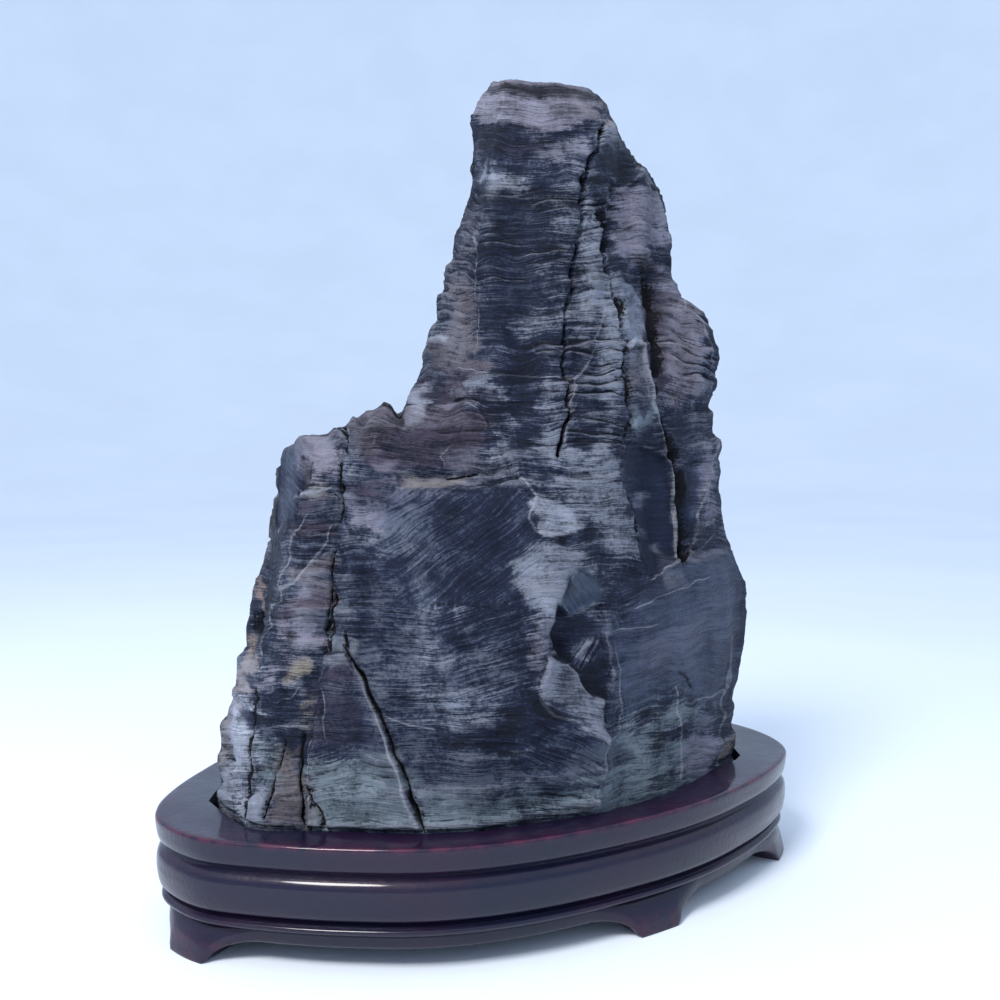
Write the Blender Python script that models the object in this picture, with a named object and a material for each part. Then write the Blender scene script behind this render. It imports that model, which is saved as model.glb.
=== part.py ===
"""A scholar's rock: an upright, mountain-shaped stone standing in the carved wooden stand made for it.

Run with: blender --background --python part.py, or from the text editor. Sizes are millimetres in the
tables and metres in the meshes. X runs along the stand's length, Z up, the stone's show face towards -Y.
The origin is on the table, under the middle of the stand.
"""

import math
from dataclasses import dataclass

import bpy
import numpy as np

MM = 0.001

# Stand, in millimetres
STAND_TOP = 32.7
BODY_BOTTOM = 8.5
APRON_EDGE = 5.6
APRON_TOP = 11.5
RECESS_FLOOR = 26.0
RECESS_CLEARANCE = 1.2
SEAT_STEPS = 72
RESTING_GAP = 0.3
LONGEST_STEP = 8.5
FEET_AT = (-168.5, -71.3, -21.4, 14.6, 108.7, 158.6)
FOOT_FLAT = 7.5
FOOT_CURVE = 13.0
FOOT_BENDS = (0.0, 0.04, 0.18, 0.45, 1.0)
APRON_INSET = 12.5
CUT_ABOVE = 8.0
CURVE_STEPS = 24
SHARP_ANGLE = math.radians(35.0)

# The plan of the stand's top edge, anticlockwise from the left end, (x, y)
RIM = (
    (-100.7, -8.6), (-95.2, -24.1), (-83.7, -35.6), (-64.7, -49.1), (-42.7, -60.1), (-16.7, -65.1),
    (13.3, -64.6), (39.3, -60.1), (63.3, -51.1), (81.3, -41.1), (94.3, -29.6), (100.3, -14.1),
    (99.8, 3.4), (92.3, 25.4), (74.3, 45.9), (46.3, 60.4), (13.3, 65.4), (-20.7, 64.2),
    (-48.7, 56.9), (-69.7, 44.9), (-83.2, 30.4), (-93.2, 16.4), (-99.2, 3.9),
)

# The moulding down the stand's side, (how far in from the top edge, height)
MOULDING = (
    (0.7, STAND_TOP), (0.0, 32.1), (0.3, 29.0), (1.0, 26.2), (2.6, 25.2), (2.3, 24.2), (0.8, 23.0),
    (0.2, 20.5), (0.5, 17.0), (1.0, 14.2), (3.4, 13.2), (3.0, 12.0), (1.6, 11.4), (1.9, 10.3),
    (5.2, 9.4), (5.6, BODY_BOTTOM),
)

# The outside of the apron between the feet and of a foot: how far in from the top edge at each share
# of the way down
APRON_SHARES = (0.0, 0.3, 0.6, 0.85, 1.0)
APRON_INSETS = (4.6, 4.0, 4.0, 4.3, 5.0)
FOOT_INSETS = (4.6, 2.8, 1.4, 0.5, 0.4)

# The viewing point that the stone's show face is drawn from: height above the table, distance from the
# stand's middle, how far it looks down, and how far round it stands from square on
EYE_HEIGHT = 129.0
EYE_DISTANCE = 327.5
EYE_ASIDE = 2.1
EYE_PITCH = math.radians(2.485)
TURN = math.radians(26.8)
MIDDLE = (1.3, -1.1)
SIGHT_PLANE = 318.0

# Stone
STONE_FOOT = RECESS_FLOOR + RESTING_GAP
ROWS = 230
VOXEL = 1.6
STONE_FACES = 5700
SMOOTHING_PASSES = 1
SHOULDER_DROP = 1.5
SHOULDER_POINTS = 24
LEAST_DROP = 0.05
CLEFT_FADE = 6.0
LUMP_SIZE = 22.0
LUMP_STRETCH = 0.6
LUMPS_NEAR = 0.9
LUMPS_FAR = 2.3
LUMP_OCTAVES = 3
BED_HEIGHT = 9.0
BED_EDGE = 1.5
BED_WANDER = 5.0
BED_WANDER_SIZE = 45.0
BED_LEDGE = 0.8
FAR_SIDE_MIDDLE = 5.0
SEAT_MARGIN = 1.5
FOOT_FADE = 5.0
FOOT_TURN = -0.5

# Seeds of the noise for the lumps, the beds' wander and the patches where their edges show, and the
# whole numbers that scatter a lattice point and a seed into a value
LUMP_SEED = 11
BED_SEED = 23
PATCH_SEED = 31
SCATTER = (73856093, 19349663, 83492791)
SCATTER_SEED = 2654435
SCATTER_MIX = 1274126177

# Ribs of the show face, from the top down: (across, up) as seen on the sight plane, and depth, which is
# how far behind the stand's middle the point lies
PEAK_LEFT = (
    (-3.0, 126.0, -12), (-6.3, 121.5, -10), (-9.6, 114.6, -8), (-7.2, 106.5, -8), (-9.0, 100.5, -8),
    (-9.0, 93.0, -8), (-11.7, 84.0, -6), (-14.4, 75.6, -5), (-17.4, 66.0, -3), (-19.5, 58.5, -2),
    (-20.4, 51.0, -1), (-22.8, 41.4, 0), (-26.7, 32.4, 1), (-29.7, 25.2, 2),
)
BLOCK_LEFT = (
    (-64.8, 14.4, -12), (-66.3, 11.4, -14), (-67.2, 3.0, -16), (-69.0, -10.5, -18), (-70.5, -18.6, -20),
    (-73.5, -23.4, -22), (-75.0, -31.5, -24), (-75.6, -40.8, -26), (-77.1, -51.6, -28),
    (-78.3, -60.0, -30), (-81.9, -62.4, -31), (-83.7, -67.5, -32), (-84.6, -75.0, -34),
    (-84.9, -87.0, -36),
)
BLOCK_EDGE = (
    (-59.7, 18.9, -18), (-60.9, 13.5, -32), (-61.8, 3.0, -36), (-65.7, -13.5, -38), (-66.0, -24.0, -40),
    (-68.4, -33.6, -42), (-71.4, -43.5, -44), (-72.0, -57.0, -46), (-71.4, -66.0, -48),
    (-73.8, -78.0, -51), (-76.2, -95.4, -54),
)
BLOCK_FACE = (
    (-54.6, 19.2, -18), (-55.5, 13.5, -32), (-57.6, 6.6, -40), (-59.4, 0.0, -43), (-60.6, -18.0, -45),
    (-63.0, -25.5, -47), (-66.0, -33.6, -48), (-64.8, -46.5, -50), (-66.0, -57.0, -51),
    (-68.4, -63.6, -52), (-64.8, -72.6, -55), (-68.4, -85.5, -57), (-71.4, -96.3, -58),
)
BLOCK_RIGHT = (
    (-49.5, 21.9, -20), (-49.2, 15.0, -34), (-50.1, 7.5, -41), (-49.8, -3.0, -43), (-51.9, -13.5, -45),
    (-52.8, -30.0, -48), (-54.0, -42.0, -49), (-55.8, -54.0, -52), (-57.6, -63.0, -53),
    (-60.0, -73.5, -56), (-60.9, -85.5, -58), (-60.9, -97.5, -59),
)
CLEFT = (
    (-46.5, 22.8, -22), (-46.5, 18.0, -32), (-46.2, 9.0, -36), (-46.8, -1.5, -37), (-48.3, -12.0, -38),
    (-49.5, -30.0, -41), (-51.6, -42.0, -42), (-53.4, -52.5, -45), (-55.5, -61.5, -48),
    (-58.2, -73.5, -51), (-59.1, -85.5, -52), (-57.6, -97.8, -52),
)
FACE_EDGE = (
    (-45.0, 25.2, -26), (-44.4, 21.0, -38), (-43.8, 12.0, -43), (-44.4, 0.0, -46), (-45.3, -13.5, -48),
    (-46.5, -30.0, -50), (-47.7, -42.0, -52), (-47.4, -46.8, -55), (-49.5, -60.0, -57),
    (-51.0, -78.0, -59), (-51.0, -98.4, -60),
)
FACE_LEFT = (
    (-34.8, 27.3, -26), (-34.2, 22.5, -38), (-34.5, 13.5, -42), (-31.5, 7.2, -44), (-32.4, 0.0, -48),
    (-34.5, -18.0, -51), (-36.6, -42.0, -54), (-38.4, -60.0, -57), (-40.5, -78.0, -60),
    (-39.6, -98.7, -61),
)
FACE_MIDDLE = (
    (1.5, 125.7, -17), (0.0, 117.0, -20), (-0.9, 105.0, -22), (-2.4, 93.0, -24), (-7.2, 79.5, -27),
    (-8.4, 63.0, -29), (-6.3, 51.0, -31), (-5.4, 33.0, -35), (-3.0, 21.0, -38), (-0.9, 13.5, -40),
    (-9.0, 7.2, -43), (-18.0, 0.0, -49), (-22.5, -30.0, -54), (-25.5, -60.0, -58), (-24.0, -99.6, -62),
)
FACE_RIGHT = (
    (12.0, 125.7, -16), (12.0, 114.0, -21), (10.5, 93.0, -26), (9.0, 72.0, -30), (7.5, 51.0, -33),
    (6.0, 30.0, -37), (4.5, 15.0, -41), (3.6, 8.4, -43), (-3.0, -3.0, -49), (-6.0, -30.0, -55),
    (-6.6, -60.0, -59), (-6.0, -99.3, -60),
)
CREST = (
    (23.4, 124.8, -12), (26.4, 116.4, -17), (27.6, 108.0, -19), (24.0, 90.0, -26), (21.0, 72.0, -31),
    (18.6, 54.0, -34), (18.0, 39.0, -38), (18.6, 30.0, -40), (16.8, 21.0, -42), (15.0, 12.0, -44),
    (12.0, 3.0, -47), (13.5, -9.0, -51), (19.5, -18.0, -53), (16.8, -30.0, -56), (12.0, -42.0, -58),
    (10.5, -57.0, -60), (16.5, -64.5, -60), (25.5, -70.5, -57), (30.9, -73.8, -53), (30.3, -82.5, -50),
    (28.5, -93.9, -47),
)
COLUMN_LEFT = (
    (26.4, 124.2, -9), (30.6, 114.0, -11), (30.9, 106.5, -14), (27.6, 90.0, -22), (24.6, 72.0, -28),
    (22.2, 54.0, -32), (21.9, 42.0, -35), (23.1, 31.5, -38), (21.6, 21.0, -41), (20.4, 14.4, -43),
    (22.8, 3.0, -46), (27.6, -12.0, -48), (30.9, -22.5, -49), (32.4, -36.0, -50), (35.7, -46.5, -48),
    (36.6, -60.0, -46), (35.4, -72.0, -45), (36.6, -92.4, -42),
)
COLUMN_RIGHT = (
    (28.8, 122.4, -5), (33.6, 111.0, -6), (33.0, 99.0, -11), (30.0, 85.5, -18), (32.1, 75.0, -22),
    (33.9, 63.0, -25), (36.0, 51.0, -28), (37.5, 36.0, -31), (39.3, 25.5, -34), (36.6, 18.0, -38),
    (35.4, 6.0, -41), (39.0, -4.5, -41), (42.6, -15.0, -41), (46.2, -24.0, -40), (47.4, -42.0, -38),
    (48.0, -60.0, -36), (48.9, -88.5, -31),
)
HOLLOW = (
    (30.3, 120.9, -2), (35.4, 108.0, -1), (38.4, 96.0, -3), (38.1, 81.0, -9), (39.0, 66.0, -12),
    (39.9, 51.0, -15), (42.6, 37.5, -18), (42.9, 27.0, -21), (43.5, 15.0, -22), (45.0, 0.0, -22),
    (46.8, -13.5, -24), (48.6, -21.6, -30), (50.4, -27.0, -36), (54.6, -45.0, -31), (55.8, -60.0, -28),
    (57.6, -84.9, -19),
)
OUTER_RIB = (
    (31.2, 119.7, 1), (37.2, 105.6, 4), (42.3, 96.6, 3), (45.0, 81.0, -1), (45.6, 66.0, -4),
    (47.4, 48.0, -8), (49.8, 30.0, -12), (52.5, 15.0, -15), (54.3, 0.0, -16), (55.8, -15.9, -19),
    (59.1, -18.0, -24), (63.0, -30.0, -22), (64.2, -45.0, -18), (63.6, -60.0, -14), (64.8, -81.6, -4),
)
RIGHT_SIDE = (
    (32.1, 118.8, 4), (33.9, 114.6, 6), (36.0, 108.0, 8), (39.3, 101.4, 9), (43.5, 98.4, 9),
    (46.5, 93.0, 8), (49.2, 88.5, 8), (52.2, 76.5, 6), (51.6, 69.0, 6), (52.2, 63.0, 6),
    (54.3, 59.4, 6), (58.8, 56.7, 6), (62.7, 51.6, 6), (65.4, 42.6, 6), (64.5, 34.5, 6), (63.3, 27.0, 7),
    (63.9, 22.5, 7), (66.0, 15.9, 8), (65.4, 6.0, 8), (66.0, -3.0, 8), (67.2, -9.0, 8),
    (69.9, -14.4, 9), (74.4, -24.6, 8), (74.7, -31.5, 8), (74.1, -42.0, 8), (71.1, -57.0, 8),
    (70.5, -66.0, 8), (71.1, -73.5, 7), (70.5, -77.1, 6),
)

# Ribs of the far side, from the top down: (right, behind, height), square to the viewing point
BACK_RIGHT = (
    (24, 10, 233), (44, 20, 205), (52, 24, 180), (60, 28, 150), (66, 30, 120), (74, 33, 90),
    (76, 34, 60), (76, 34, 32),
)
BACK_RIGHT_EDGE = (
    (18, 14, 234), (30, 28, 205), (40, 30, 180), (44, 40, 150), (50, 42, 120), (55, 51, 90),
    (56, 54, 60), (56, 54, 32),
)
BACK_MIDDLE = (
    (10, 12, 235), (16, 27, 205), (18, 33, 180), (21, 43, 150), (17, 47, 120), (20, 55, 90),
    (20, 58, 60), (19, 57, 32),
)
BACK_LEFT_EDGE = (
    (2, 6, 235), (2, 18, 205), (0, 26, 180), (-7, 33, 150), (-15, 39, 125), (-20, 42, 95),
    (-24, 45, 60), (-22, 43, 32),
)
BACK_LEFT = (
    (-3, -2, 234), (-8, 8, 200), (-14, 12, 170), (-22, 16, 143), (-44, 18, 133), (-52, 18, 100),
    (-57, 20, 60), (-56, 18, 32),
)
BACK_END = (
    (-4, -8, 233), (-6, -3, 212), (-9, 0, 200), (-17, 3, 170), (-26, 6, 143), (-60, -3, 132),
    (-67, -6, 110), (-72, -8, 80), (-77, -10, 50), (-77, -12, 32),
)

# Ribs that stop at the stone's low shoulder, and how far each has got from the peak's left side
# towards the middle of its face where the shoulder joins the peak
SHOULDER_RIBS = (
    (BLOCK_LEFT, 0.0), (BLOCK_EDGE, 0.12), (BLOCK_FACE, 0.26), (BLOCK_RIGHT, 0.4), (CLEFT, 0.55),
    (FACE_EDGE, 0.7), (FACE_LEFT, 0.86),
)
CLEFT_RIB = 4
FRONT_RIBS = (FACE_MIDDLE, FACE_RIGHT, CREST, COLUMN_LEFT, COLUMN_RIGHT, HOLLOW, OUTER_RIB, RIGHT_SIDE)
BACK_RIBS = (BACK_RIGHT, BACK_RIGHT_EDGE, BACK_MIDDLE, BACK_LEFT_EDGE, BACK_LEFT, BACK_END)


@dataclass(frozen=True)
class Groove:
    """A cleft along a line drawn on the sight plane, with its half width and depth in millimetres."""

    path: tuple
    half_width: float
    depth: float


@dataclass(frozen=True)
class Chip:
    """A patch sunk below the face, or raised where sink is negative, with a sloping border."""

    outline: tuple
    border: float
    sink: float


GROOVES = (
    Groove(((30.0, 111.6), (27.0, 100.5), (25.5, 90.0), (23.4, 75.6), (21.6, 63.0), (19.2, 49.5),
            (20.4, 37.5), (20.1, 25.5), (16.8, 13.2)), 2.2, 4.5),
    Groove(((33.6, 67.5), (36.0, 57.0), (36.3, 46.5), (37.5, 34.5), (39.6, 24.6), (36.6, 18.0),
            (37.5, 3.0), (42.0, -9.0), (44.4, -19.5), (46.2, -23.4)), 2.2, 3.0),
    Groove(((51.6, 13.5), (53.7, 3.0), (54.3, -3.0), (54.9, -9.0), (55.5, -16.8)), 2.4, 4.0),
    Groove(((-45.3, -46.5), (-40.2, -54.6), (-36.0, -63.9), (-32.1, -73.5), (-29.4, -81.0),
            (-26.7, -90.0), (-23.1, -98.4)), 2.0, 4.0),
    Groove(((-47.7, 3.0), (-46.8, -4.5), (-48.9, -15.0), (-50.1, -30.0), (-51.6, -42.0),
            (-52.5, -48.0)), 2.0, 3.0),
    Groove(((-58.8, -72.0), (-59.4, -85.5), (-59.4, -97.8)), 1.8, 3.0),
    Groove(((-72.6, -57.0), (-74.4, -78.0), (-75.9, -95.4)), 1.8, 2.5),
    Groove(((29.4, 85.5), (30.6, 79.5), (32.1, 75.0)), 2.4, 2.5),
)

CHIPS = (
    Chip(((17.4, -30.0), (15.0, -39.6), (16.8, -45.0), (18.9, -48.6), (23.4, -51.0), (24.9, -54.6),
          (27.6, -58.5), (32.4, -59.4), (33.6, -45.0), (31.8, -39.0), (27.0, -33.6)), 1.8, 3.0),
    Chip(((9.0, -6.0), (9.6, 0.0), (16.5, 1.5), (23.4, -3.0), (22.5, -10.5), (14.4, -11.1)), 2.0, -1.6),
    Chip(((12.6, -49.2), (22.5, -49.5), (28.2, -58.2), (33.0, -60.0), (31.5, -72.0), (22.5, -67.5),
          (12.0, -59.4)), 1.6, -1.5),
    Chip(((-34.0, 8.0), (1.5, 11.0), (4.0, 16.0), (-4.0, 24.0), (-32.0, 20.0)), 2.2, 1.6),
    Chip(((-46.5, -49.5), (-41.0, -56.0), (-30.0, -80.0), (-25.0, -97.0), (-56.0, -97.0)), 2.0, -1.6),
)

# Clefts of the far side: (half width, depth, then bearing in degrees and height in millimetres)
BACK_CLEFTS = (
    (3.0, 4.0, ((62, 190), (58, 150), (66, 110), (60, 70), (63, 33))),
    (2.6, 3.5, ((98, 226), (104, 180), (98, 140), (106, 95), (101, 60))),
    (3.0, 4.5, ((136, 170), (128, 140), (133, 100), (126, 60), (130, 33))),
    (2.4, 3.0, ((32, 160), (36, 120), (30, 80), (34, 45))),
    (2.6, 3.5, ((163, 128), (158, 100), (164, 70), (160, 33))),
    (2.4, 3.0, ((80, 100), (86, 70), (82, 33))),
)


def seen(across, up, depth):
    """The point (right, behind, height) of what is seen at (across, up) on the sight plane."""
    forward = math.cos(EYE_PITCH) + up / SIGHT_PLANE * math.sin(EYE_PITCH)
    rise = up / SIGHT_PLANE * math.cos(EYE_PITCH) - math.sin(EYE_PITCH)
    reach = (EYE_DISTANCE + depth) / forward
    return across / SIGHT_PLANE * reach + EYE_ASIDE, depth, EYE_HEIGHT + rise * reach


def sight_of(points):
    """Where points (right, behind, height) are seen on the sight plane, as (across, up)."""
    right = points[:, 0] - EYE_ASIDE
    forward = points[:, 1] + EYE_DISTANCE
    rise = points[:, 2] - EYE_HEIGHT
    reach = forward * math.cos(EYE_PITCH) - rise * math.sin(EYE_PITCH)
    lift = forward * math.sin(EYE_PITCH) + rise * math.cos(EYE_PITCH)
    return np.column_stack((right / reach, lift / reach)) * SIGHT_PLANE


def to_part(points):
    """Turns points (right, behind, height) into the part's own X, Y and Z."""
    right, behind = points[:, 0], points[:, 1]
    x = right * math.cos(TURN) + behind * math.sin(TURN) + MIDDLE[0]
    y = behind * math.cos(TURN) - right * math.sin(TURN) + MIDDLE[1]
    return np.column_stack((x, y, points[:, 2]))


def to_view(points):
    """Turns points in the part's X, Y and Z into (right, behind, height)."""
    x, y = points[:, 0] - MIDDLE[0], points[:, 1] - MIDDLE[1]
    right = x * math.cos(TURN) - y * math.sin(TURN)
    behind = x * math.sin(TURN) + y * math.cos(TURN)
    return np.column_stack((right, behind, points[:, 2]))


def eased(share):
    """A smooth step from 0 to 1 as share goes from 0 to 1."""
    share = np.clip(share, 0.0, 1.0)
    return share * share * (3.0 - 2.0 * share)


def rib_at(rib, heights):
    """The (right, behind) of a rib at each height; below its last point it goes straight down."""
    rib = np.asarray(rib, float)[::-1]
    right = np.interp(heights, rib[:, 2], rib[:, 0])
    return np.column_stack((right, np.interp(heights, rib[:, 2], rib[:, 1])))


def front_rib(drawn):
    """A drawn rib as points (right, behind, height), each lower than the one before it."""
    points = [seen(*point) for point in drawn]
    kept = [points[0]]
    for point in points[1:]:
        if point[2] < kept[-1][2] - LEAST_DROP:
            kept.append(point)
    return kept


def shoulder_rib(drawn, share):
    """A rib that climbs to the shoulder, crosses it and goes on up the peak's left side."""
    low = front_rib(drawn)
    left, middle = front_rib(PEAK_LEFT), front_rib(FACE_MIDDLE)
    top = left[0][2] * (1.0 - share) + middle[0][2] * share
    heights = np.linspace(top, low[0][2] + SHOULDER_DROP, SHOULDER_POINTS)
    high = rib_at(left, heights) * (1.0 - share) + rib_at(middle, heights) * share
    return [(*place, height) for place, height in zip(high, heights)] + low


def stone_ribs():
    """Every rib of the stone, anticlockwise from its left end, in (right, behind, height)."""
    ribs = [shoulder_rib(drawn, share) for drawn, share in SHOULDER_RIBS]
    ribs += [front_rib(drawn) for drawn in FRONT_RIBS]
    return ribs + [list(rib) for rib in BACK_RIBS]


def stone_loft(ribs):
    """A closed mesh of the stone's main planes: vertices in (right, behind, height), and faces."""
    count = len(ribs)
    rows = []
    for share in np.linspace(0.0, 1.0, ROWS + 1):
        heights = [STONE_FOOT + (rib[0][2] - STONE_FOOT) * share for rib in ribs]
        rows.append([(*rib_at(rib, [h])[0], h) for rib, h in zip(ribs, heights)])
    vertices = np.array(rows).reshape(-1, 3)
    faces = []
    for row in range(ROWS):
        for column in range(count):
            a, b = row * count + column, row * count + (column + 1) % count
            faces.append((a, b, b + count, a + count))
    foot, head = len(vertices), len(vertices) + 1
    centres = vertices[:count].mean(axis=0), vertices[-count:].mean(axis=0)
    last = ROWS * count
    for column in range(count):
        following = (column + 1) % count
        faces.append((following, column, foot))
        faces.append((last + column, last + following, head))
    return np.vstack((vertices, centres)), faces


def lattice_noise(points, seed):
    """Smooth noise from -1 to 1 at each point, one cell to a unit, the same on each run."""
    cell = np.floor(points).astype(np.int64)
    blend = eased(points - cell)
    total = np.zeros(len(points))
    for corner in range(8):
        step = np.array([(corner >> axis) & 1 for axis in range(3)])
        at = cell + step
        mixed = np.bitwise_xor.reduce(at * SCATTER, axis=1) ^ (seed * SCATTER_SEED)
        mixed = ((mixed ^ (mixed >> 13)) * SCATTER_MIX) & 0xFFFFFFFF
        value = ((mixed ^ (mixed >> 16)) & 0xFFFF) / 32767.5 - 1.0
        total += value * np.prod(np.where(step, blend, 1.0 - blend), axis=1)
    return total


def layered_noise(points, size, octaves, seed):
    """Noise of several sizes, each half as large and half as strong as the one before."""
    total, strength = np.zeros(len(points)), 1.0
    for octave in range(octaves):
        total += strength * lattice_noise(points / size * 2.0 ** octave, seed + octave)
        strength *= 0.5
    return total


def distance_to_line(places, path):
    """How far each 2-D place is from a polyline."""
    nearest = np.full(len(places), np.inf)
    for start, end in zip(path[:-1], path[1:]):
        start, along = np.array(start, float), np.subtract(end, start).astype(float)
        share = np.clip((places - start) @ along / (along @ along), 0.0, 1.0)
        gap = places - start - share[:, None] * along
        nearest = np.minimum(nearest, np.hypot(gap[:, 0], gap[:, 1]))
    return nearest


def inside(places, outline):
    """True for each 2-D place inside a closed outline."""
    result = np.zeros(len(places), bool)
    for (x0, y0), (x1, y1) in zip(outline, outline[1:] + outline[:1]):
        if y0 == y1:
            continue
        crosses = (places[:, 1] > y0) != (places[:, 1] > y1)
        result ^= crosses & (places[:, 0] < (x1 - x0) * (places[:, 1] - y0) / (y1 - y0) + x0)
    return result


def facing_eye(points, normals):
    """How squarely each point of the surface faces the viewing point, from -1 to 1."""
    sight = np.array((EYE_ASIDE, -EYE_DISTANCE, EYE_HEIGHT)) - points
    return np.sum(normals * sight, axis=1) / np.linalg.norm(sight, axis=1)


def show_face_relief(points, facing):
    """How far each point of the show face stands out, for its clefts and chips."""
    places = sight_of(points)
    relief = np.zeros(len(points))
    for groove in GROOVES:
        near = distance_to_line(places, groove.path) / groove.half_width
        relief -= groove.depth * np.clip(1.0 - near, 0.0, 1.0)
    for chip in CHIPS:
        border = distance_to_line(places, chip.outline + chip.outline[:1])
        signed = np.where(inside(places, chip.outline), border, -border)
        relief -= chip.sink * eased(0.5 + signed / chip.border)
    return relief * eased((facing + 0.05) / 0.25)


def broken_surface(points, facing):
    """How far each point stands out, for the lumps and the edges of the beds, rougher on the far side."""
    far = eased(-0.1 - facing * 2.0)
    lumps = layered_noise(points * (1.0, 1.0, LUMP_STRETCH), LUMP_SIZE, LUMP_OCTAVES, LUMP_SEED)
    bed = points[:, 2] + BED_WANDER * lattice_noise(points / BED_WANDER_SIZE, BED_SEED)
    step = bed / BED_HEIGHT - np.floor(bed / BED_HEIGHT)
    edges = eased(step / BED_LEDGE) - eased((step - BED_LEDGE) / (1.0 - BED_LEDGE))
    patches = eased(0.5 + lattice_noise(points / LUMP_SIZE, PATCH_SEED))
    return (LUMPS_NEAR + (LUMPS_FAR - LUMPS_NEAR) * far) * lumps + BED_EDGE * (edges - 0.5) * patches


def far_side_relief(points):
    """How far each point of the far side stands out, for its clefts."""
    right = points[:, 0] - FAR_SIDE_MIDDLE
    bearing = np.degrees(np.arctan2(points[:, 1], right))
    reach = np.hypot(right, points[:, 1])
    relief = np.zeros(len(points))
    for half_width, depth, path in BACK_CLEFTS:
        heights = [height for _, height in path][::-1]
        bearings = [angle for angle, _ in path][::-1]
        centre = np.interp(points[:, 2], heights, bearings)
        aside = np.abs(np.radians(bearing - centre)) * reach / half_width
        past_end = np.maximum(heights[0] - points[:, 2], points[:, 2] - heights[-1])
        relief -= depth * np.clip(1.0 - aside, 0.0, 1.0) * eased(1.0 - past_end / CLEFT_FADE)
    return relief


def smoothed(mesh, passes):
    """Moves each vertex half way to the mean of its neighbours, several times over."""
    count = len(mesh.vertices)
    edges = np.empty(len(mesh.edges) * 2, np.int64)
    mesh.edges.foreach_get("vertices", edges)
    edges = edges.reshape(-1, 2)
    points = np.empty(count * 3)
    mesh.vertices.foreach_get("co", points)
    points = points.reshape(-1, 3)
    degree = np.bincount(edges.ravel(), minlength=count)[:, None]
    for _ in range(passes):
        total = np.zeros_like(points)
        np.add.at(total, edges[:, 0], points[edges[:, 1]])
        np.add.at(total, edges[:, 1], points[edges[:, 0]])
        points = 0.5 * (points + total / degree)
    return points


def carve_stone(mesh):
    """Cuts the clefts and chips and raises the broken surface on the remeshed stone."""
    points = smoothed(mesh, SMOOTHING_PASSES)
    mesh.vertices.foreach_set("co", points.ravel())
    mesh.update()
    normals = np.empty(len(points) * 3)
    mesh.vertex_normals.foreach_get("vector", normals)
    normals = to_view_turn(normals.reshape(-1, 3))
    seen_points = to_view(points / MM)
    facing = facing_eye(seen_points, normals)
    relief = show_face_relief(seen_points, facing) + far_side_relief(seen_points)
    relief += broken_surface(seen_points, facing)
    relief = np.where(seen_points[:, 2] < STAND_TOP + SEAT_MARGIN, np.minimum(relief, 0.0), relief)
    relief *= eased((seen_points[:, 2] - STONE_FOOT) / FOOT_FADE)
    moved = to_part(seen_points + normals * relief[:, None])
    under = (moved[:, 2] < STONE_FOOT + SEAT_MARGIN) & (normals[:, 2] < FOOT_TURN)
    moved[under | (moved[:, 2] < STONE_FOOT), 2] = STONE_FOOT
    mesh.vertices.foreach_set("co", (moved * MM).ravel())
    mesh.update()


def to_view_turn(vectors):
    """Turns directions from the part's axes to (right, behind, up)."""
    right = vectors[:, 0] * math.cos(TURN) - vectors[:, 1] * math.sin(TURN)
    behind = vectors[:, 0] * math.sin(TURN) + vectors[:, 1] * math.cos(TURN)
    return np.column_stack((right, behind, vectors[:, 2]))


def new_object(name, vertices, faces):
    """An object of the scene whose mesh has these vertices, in millimetres."""
    mesh = bpy.data.meshes.new(name)
    mesh.from_pydata((np.asarray(vertices) * MM).tolist(), [], faces)
    mesh.update()
    made = bpy.data.objects.new(name, mesh)
    bpy.context.scene.collection.objects.link(made)
    return made


def evaluated_mesh(made):
    """The object's mesh with its modifiers applied."""
    graph = bpy.context.evaluated_depsgraph_get()
    return bpy.data.meshes.new_from_object(made.evaluated_get(graph))


def build_stone(ribs):
    """The stone: its main planes lofted through the ribs, remeshed evenly, carved and thinned."""
    vertices, faces = stone_loft(ribs)
    stone = new_object("stone", to_part(vertices), faces)
    remesh = stone.modifiers.new("even skin", "REMESH")
    remesh.mode = "VOXEL"
    remesh.voxel_size = VOXEL * MM
    skin = evaluated_mesh(stone)
    stone.modifiers.clear()
    carve_stone(skin)
    stone.data = skin
    skin.name = "stone"
    skin.calc_loop_triangles()
    thin = stone.modifiers.new("fewer faces", "DECIMATE")
    thin.ratio = STONE_FACES / len(skin.loop_triangles)
    thin.use_collapse_triangulate = True
    return stone


def rounded_outline(corners):
    """A smooth closed curve through the corners, as closely spaced points."""
    corners = np.asarray(corners, float)
    before, after = np.roll(corners, 1, axis=0), np.roll(corners, -1, axis=0)
    beyond = np.roll(corners, -2, axis=0)
    dense = []
    for t in np.linspace(0.0, 1.0, CURVE_STEPS, endpoint=False):
        dense.append(0.5 * (2.0 * corners + (after - before) * t
                            + (2.0 * before - 5.0 * corners + 4.0 * after - beyond) * t * t
                            + (3.0 * corners - 3.0 * after + beyond - before) * t ** 3))
    return np.stack(dense, axis=1).reshape(-1, 2)


def distances_along(curve):
    """How far along a closed line each of its points lies, and after them its whole length."""
    closed = np.vstack((curve, curve[:1]))
    return np.concatenate(([0.0], np.cumsum(np.hypot(*np.diff(closed, axis=0).T))))


def places_along(curve, wanted):
    """The points of a closed line at the wanted distances along it."""
    closed = np.vstack((curve, curve[:1]))
    along = distances_along(curve)
    return np.column_stack([np.interp(wanted, along, closed[:, axis]) for axis in range(2)])


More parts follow.
